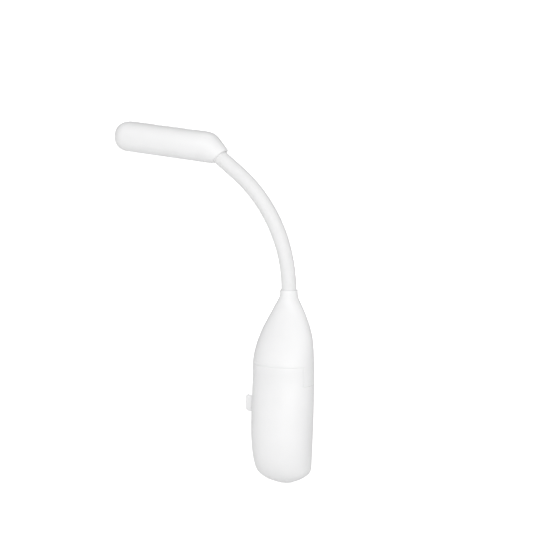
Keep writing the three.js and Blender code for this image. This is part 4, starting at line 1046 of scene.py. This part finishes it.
def build_clip():
    jaw = bake(bevel(jaw_plate(), 0.4, 3, 50))
    groove = block("groove", (0.8, PIVOT_Y, PIVOT_Z), (2.4, PIVOT_Y + 3.0, PIVOT_Z + 10.5))
    parts = [carve(jaw, pivot_rod("well", EAR_RADIUS + 0.4, -9, 9), groove)]
    for side in (-1, 1):
        ends = (side * KNUCKLE_X, side * (EAR_INNER - KNUCKLE_GAP))
        parts.append(pivot_rod("knuckle", EAR_RADIUS, *ends, edge=0.2))
        low, high = sorted((side * 2.6, side * 4.4))
        parts.append(block("web", (low, PIVOT_Y, PIVOT_Z - 1.6), (high, PIVOT_Y + 3.2, PIVOT_Z + 1.6)))
    for z in (LEVER_TOP - 9.6 + 1.7 * k for k in range(5)):
        bend = np.interp(z, list(LEVER_BEND), list(LEVER_BEND.values()))
        y, half = HINGE_Y + JAW_THICK + bend - 0.12, jaw_half_width(z) - 1.5
        parts.append(rod("bar", 0.34, (-half, y, z), (half, y, z), 16, 0.2))
    settle(join("clip_jaw", *parts), "clip", "white_shell", ["clip_jaw"])

    reach = EAR_OUTER + 0.5
    pin = join("clip_pin", pivot_rod("shaft", PIN_RADIUS, -reach, reach, 40, 0.2),
               pivot_rod("head", 1.5, EAR_OUTER + 0.1, EAR_OUTER + 0.7, edge=0.18))
    settle(pin, "body", "steel", ["clip_pin"])
    build_spring()
    build_pads()


def build_spring():
    """Torsion spring: a leg on the body's back, four and a half turns, a leg in the jaw's groove."""
    half, radius, leg = SPRING_HALF, SPRING_RADIUS, SPRING_LEG
    path = [(-half, PIVOT_Y - radius - 0.75 * out, PIVOT_Z + leg * out) for out in np.linspace(1, 0.02, 14)]
    for along in np.linspace(0, 1, 220):
        angle = pi + SPRING_TURNS * 2 * pi * along
        path.append((lerp(-half, half, along), PIVOT_Y + radius * cos(angle),
                     PIVOT_Z + radius * sin(angle)))
    path += [(half, PIVOT_Y + radius + 0.25 * out, PIVOT_Z + leg * out) for out in np.linspace(0.02, 1, 14)]
    spring = settle(tube("clip_spring", path, SPRING_WIRE, 12), None, "steel", ["clip_spring"], sharp=60)
    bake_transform(spring)


def grip_pad(name, y_back, y_face):
    """A rubber pad with a rounded rim and five grooves across its gripping face."""
    pad = plate(name, rounded_rect(4.6, 4.8, 1.2, 9), 0, abs(y_face - y_back))
    move(pad, Matrix.Translation((0, max(y_back, y_face), GRIP_Z)) @ UPRIGHT)
    bake(bevel(pad, 0.22, 3))
    return carve(pad, *(rod("groove", 0.3, (-6, y_face, GRIP_Z + dz), (6, y_face, GRIP_Z + dz), 20)
                        for dz in (-3.5, -1.75, 0.0, 1.75, 3.5)))


def build_pads():
    body_face, jaw_face = GRIP_Y - PAD_SPACE / 2, GRIP_Y + PAD_SPACE / 2
    depth = PAD_THICK + PAD_BED
    settle(grip_pad("body_pad", body_face - depth, body_face), "body", "grip_rubber", ["body_pad"])
    settle(grip_pad("jaw_pad", jaw_face + depth, jaw_face), "clip", "grip_rubber", ["jaw_pad"])


# ---------- head ----------

def last_pivot():
    x, z = 0.0, COLLAR_TOP + FIRST_JOINT
    for k in range(LINK_COUNT):
        lean = (FIRST_JOINT + LINK_PITCH * (k + 0.5)) / NECK_BEND_RADIUS
        x -= LINK_PITCH * sin(lean)
        z += LINK_PITCH * cos(lean)
    return Vector((x, 0, z))


HEAD_PLACE = Matrix.Translation(last_pivot()) @ Matrix.Rotation(HEAD_TILT, 4, "Y")


def upper_edge():
    """Nozzle's slope, rounded crest and flat top as one line of X and Z with the length run along it."""
    climb = atan2(CREST[1] - NOZZLE_TOP[1], NOZZLE_TOP[0] - CREST[0])
    tangent = CREST_RADIUS * tan(climb / 2)
    centre = (CREST[0] - tangent, CREST[1] - CREST_RADIUS)
    line = [NOZZLE_TOP, *arc(centre, CREST_RADIUS, 90 - degrees(climb), 90, 40),
            (SHOULDER_X, HEAD_CENTRE_Z + HEAD_HALF_HEIGHT)]
    line = np.array(line)
    return line, np.concatenate(([0.0], np.cumsum(np.linalg.norm(np.diff(line, axis=0), axis=1))))


def head_edges(t):
    """Upper and lower edge of the head's side view along the nozzle's flare."""
    line, run = upper_edge()
    top = np.array([np.interp(t * run[-1], run, line[:, i]) for i in range(2)])
    bottom = lerp(np.array(NOZZLE_BOTTOM), np.array((SHOULDER_X, HEAD_CENTRE_Z - HEAD_HALF_HEIGHT)), t)
    return top, bottom


def head_ring(top, bottom, half_width, roundness, sides):
    middle = (top + bottom) / 2
    reach = top - middle
    power = lerp(2, HEAD_SECTION_POWER, roundness)
    ring = []
    for angle in full_turn(sides):
        up, out = (signed_power(f(angle), 2 / power) for f in (cos, sin))
        ring.append(Vector((middle[0] + reach[0] * up, half_width * out, middle[1] + reach[1] * up)))
    return ring


def flare_half_width(t):
    return lerp(NOZZLE_HALF_WIDTH, HEAD_HALF_WIDTH, sin(t * pi / 2))


def tip_shrink(share):
    """Size of the section at a share of the rounded tip's depth."""
    return max(1 - share ** HEAD_CAP_POWER, 0.0) ** (1 / HEAD_CAP_POWER)


def barrel_ring(x, shrink, sides):
    high = HEAD_HALF_HEIGHT * shrink
    return head_ring(np.array((x, HEAD_CENTRE_Z + high)), np.array((x, HEAD_CENTRE_Z - high)),
                     HEAD_HALF_WIDTH * shrink, 1, sides)


def head_skin():
    """Bore, rolled nozzle lip, flare, straight barrel and rounded tip as one closed skin."""
    sides = 88
    top, bottom = head_edges(0)
    middle, reach = (top + bottom) / 2, (top - bottom) / 2
    radius = np.linalg.norm(reach)
    axis = np.array((reach[1], -reach[0])) / radius
    bore = NECK_RADIUS + 0.1
    rings = []
    for r, out in ((bore, -4.0), (bore, -0.15), (bore + 0.1, 0.0), (radius - 0.3, 0.0),
                   (radius - 0.12, -0.04), (radius - 0.03, -0.14)):
        at, up = middle + axis * out, reach / radius * r
        rings.append(head_ring(at + up, at - up, r * NOZZLE_HALF_WIDTH / radius, 0, sides))
    rings += [head_ring(*head_edges(t), flare_half_width(t), t, sides) for t in np.linspace(0.02, 1, 40)]
    rings += [barrel_ring(x, 1, sides) for x in np.linspace(SHOULDER_X - 1, CAP_START + 0.5, 30)]
    for share in np.sin(np.linspace(0, 0.5 * pi, 26)):
        rings.append(barrel_ring(CAP_START - HEAD_CAP_DEPTH * share, tip_shrink(share), sides))
    points, faces = skin(rings, "open")
    faces.append(tuple(range(sides))[::-1])
    return mesh_piece("head_shell", points, faces)


def underside(x, y):
    """Height of the head's underside."""
    t = min(max((NOZZLE_BOTTOM[0] - x) / (NOZZLE_BOTTOM[0] - SHOULDER_X), 0), 1)
    bottom = lerp(NOZZLE_BOTTOM[1], HEAD_CENTRE_Z - HEAD_HALF_HEIGHT, t)
    shrink = tip_shrink(max((CAP_START - x) / HEAD_CAP_DEPTH, 0))
    power = lerp(2, HEAD_SECTION_POWER, t)
    high, wide = (HEAD_CENTRE_Z - bottom) * shrink, flare_half_width(t) * shrink
    return HEAD_CENTRE_Z - high * max(1 - abs(y / wide) ** power, 0) ** (1 / power)


def window_ring(half, lift):
    """A slot outline round the window that follows the head's underside, lifted into the head."""
    grow = half - FRAME_HALF
    outline = stadium(WINDOW_FROM + grow, WINDOW_TO - grow, half)
    return [Vector((x, y, underside(x, y) + lift)) for x, y in outline]


def lens_frame():
    """Bezel round the lens: flush with the head's underside, with rounded inner and outer edges."""
    outer, inner = FRAME_HALF + 0.2, LENS_HALF + 0.08
    rings = [window_ring(lerp(outer, inner, share), lift) for share, lift in (
        (0.0, 1.6), (0.0, 0.16), (0.04, 0.05), (0.12, 0.0), (0.4, 0.0), (0.7, 0.0), (0.88, 0.02),
        (0.96, 0.1), (1.0, 0.25), (1.0, 1.6))]
    return mesh_piece("lens_frame", *skin(rings, "joined"))


def lens():
    """Slightly crowned frosted lens that fills the bezel."""
    rings = [window_ring(LENS_HALF - inset, lift) for inset, lift in (
        (0, 1.5), (0, 0.35), (0.08, 0.24), (0.3, 0.18), (1.0, 0.1), (2.0, 0.05), (3.0, 0.03),
        (LENS_HALF - 0.02, 0.03))]
    return mesh_piece("lens", *skin(rings))


def build_head():
    cover = head_skin()
    window = stadium(WINDOW_FROM + FRAME_GAP, WINDOW_TO - FRAME_GAP, FRAME_HALF + FRAME_GAP)
    carve(cover, plate("pocket", window, -6, LED_BOARD_Z + 1.2))
    settle(cover, "head", "white_shell", ["head_shell"], place=HEAD_PLACE)
    settle(lens_frame(), "head", "white_shell", ["lens_frame"], place=HEAD_PLACE)
    settle(lens(), "head", "frosted_lens", ["lens"], place=HEAD_PLACE)
    for number in range(1, LED_COUNT + 1):
        x, name = LED_FIRST_X - LED_STEP * (number - 1), f"led_{number}"
        case = block(name, (x - LED_HALF, -LED_HALF, LED_BOARD_Z - 0.9),
                     (x + LED_HALF, LED_HALF, LED_BOARD_Z - 0.1))
        settle(bevel(case, 0.12, 2), "head", "led_case", [name], place=HEAD_PLACE)
        face = [(0, -0.97), (0.7, -0.95), (1.02, -0.9), (1.1, -0.85), (0, -0.85)]
        settle(turned(f"{name}_face", face, 32), "head", "led_phosphor",
               place=HEAD_PLACE @ Matrix.Translation((x, 0, LED_BOARD_Z)))
    flatter = Matrix.Scale(0.75, 4, (0, 0, 1))
    for number, x in enumerate(HEAD_SCREW_X, 1):
        name = f"head_screw_{number}"
        place = HEAD_PLACE @ upside_down(x, 0, LED_BOARD_Z - 0.1) @ flatter
        settle(screw(name, 1.3, 0.75, 5.2), "head", "steel", [name], place=place)


# ---------- camera, floor and light ----------

def direction(azimuth, elevation):
    """Unit vector towards a viewpoint, degrees round from the front (-Y) towards +X and degrees up."""
    a, e = radians(azimuth), radians(elevation)
    return Vector((sin(a) * cos(e), -cos(a) * cos(e), sin(e)))


def face_lamp(name, data, azimuth, elevation, distance):
    """Sets up a camera or a light that looks at the lamp."""
    obj = add_object(name, data)
    back = direction(azimuth, elevation)
    obj.location = CAMERA_TARGET + back * distance
    obj.rotation_mode = "QUATERNION"
    obj.rotation_quaternion = (-back).to_track_quat("-Z", "Y")
    return obj


def build_camera():
    data = bpy.data.cameras.new("camera")
    data.lens = CAMERA_LENS
    data.sensor_width = SENSOR_WIDTH
    data.clip_start, data.clip_end = 0.01, 100
    bpy.context.scene.camera = face_lamp("camera", data, CAMERA_AZIMUTH, CAMERA_ELEVATION, CAMERA_DISTANCE)


def soft_light(name, azimuth, elevation, distance, size, power):
    """A square soft box."""
    data = bpy.data.lights.new(name, "AREA")
    data.shape = "RECTANGLE"
    data.size = data.size_y = size
    data.energy = power
    face_lamp(name, data, azimuth, elevation, distance).visible_camera = False


def build_world():
    """Bright on the camera's side and dim behind the lamp; the camera itself sees plain white."""
    world = bpy.data.worlds.new("studio")
    bpy.context.scene.world = world
    n = Nodes(world)
    camera_side = direction(CAMERA_AZIMUTH, CAMERA_ELEVATION)
    sky = n.add("TexCoord").outputs["Generated"]
    towards = n.add("VectorMath", {0: sky, 1: camera_side}, operation="DOT_PRODUCT").outputs["Value"]
    strength = n.add("MapRange", {"Value": towards, **WORLD_STRENGTH},
                     interpolation_type="SMOOTHSTEP").outputs["Result"]
    lighting, seen = n.tree.nodes["Background"], n.add("Background")
    for background, value in ((lighting, strength), (seen, 1.0)):
        n.feed(background.inputs["Color"], (1, 1, 1, 1))
        n.feed(background.inputs["Strength"], value)
    camera_ray = n.add("LightPath").outputs["Is Camera Ray"]
    choice = n.add("MixShader", {"Fac": camera_ray, 1: lighting.outputs[0], 2: seen.outputs[0]})
    n.feed(n.tree.nodes["World Output"].inputs["Surface"], choice.outputs[0])


def build_floor():
    """A wide white floor, lifted for the camera so that it merges with the background."""
    z = CAD_BOX[0].z - FLOOR_DROP
    corners = [(x * FLOOR_HALF, y * FLOOR_HALF, z) for x, y in ((-1, -1), (1, -1), (1, 1), (-1, 1))]
    data = bpy.data.meshes.new("floor")
    data.from_pydata(corners, [], [(0, 1, 2, 3)])
    white = Look("floor")
    glow = white.math("MULTIPLY", white.add("LightPath").outputs["Is Camera Ray"], FLOOR_GLOW)
    white.set(Base_Color=(0.9, 0.9, 0.9, 1), Roughness=0.9, Specular_IOR_Level=0.0,
              Emission_Color=(1, 1, 1, 1), Emission_Strength=glow)
    data.materials.append(white.material)
    add_object("floor", data)


def build_studio():
    bpy.context.scene.view_settings.view_transform = "Standard"
    build_world()
    build_floor()
    soft_light("key", 25, 8, 1.3, 1.2, 7.9)
    soft_light("back", 210, 8, 1.2, 0.3, 3.0)


build_camera()
build_studio()
build_body()
build_contents()
build_knob()
build_collar()
build_neck()
build_clip()
build_head()
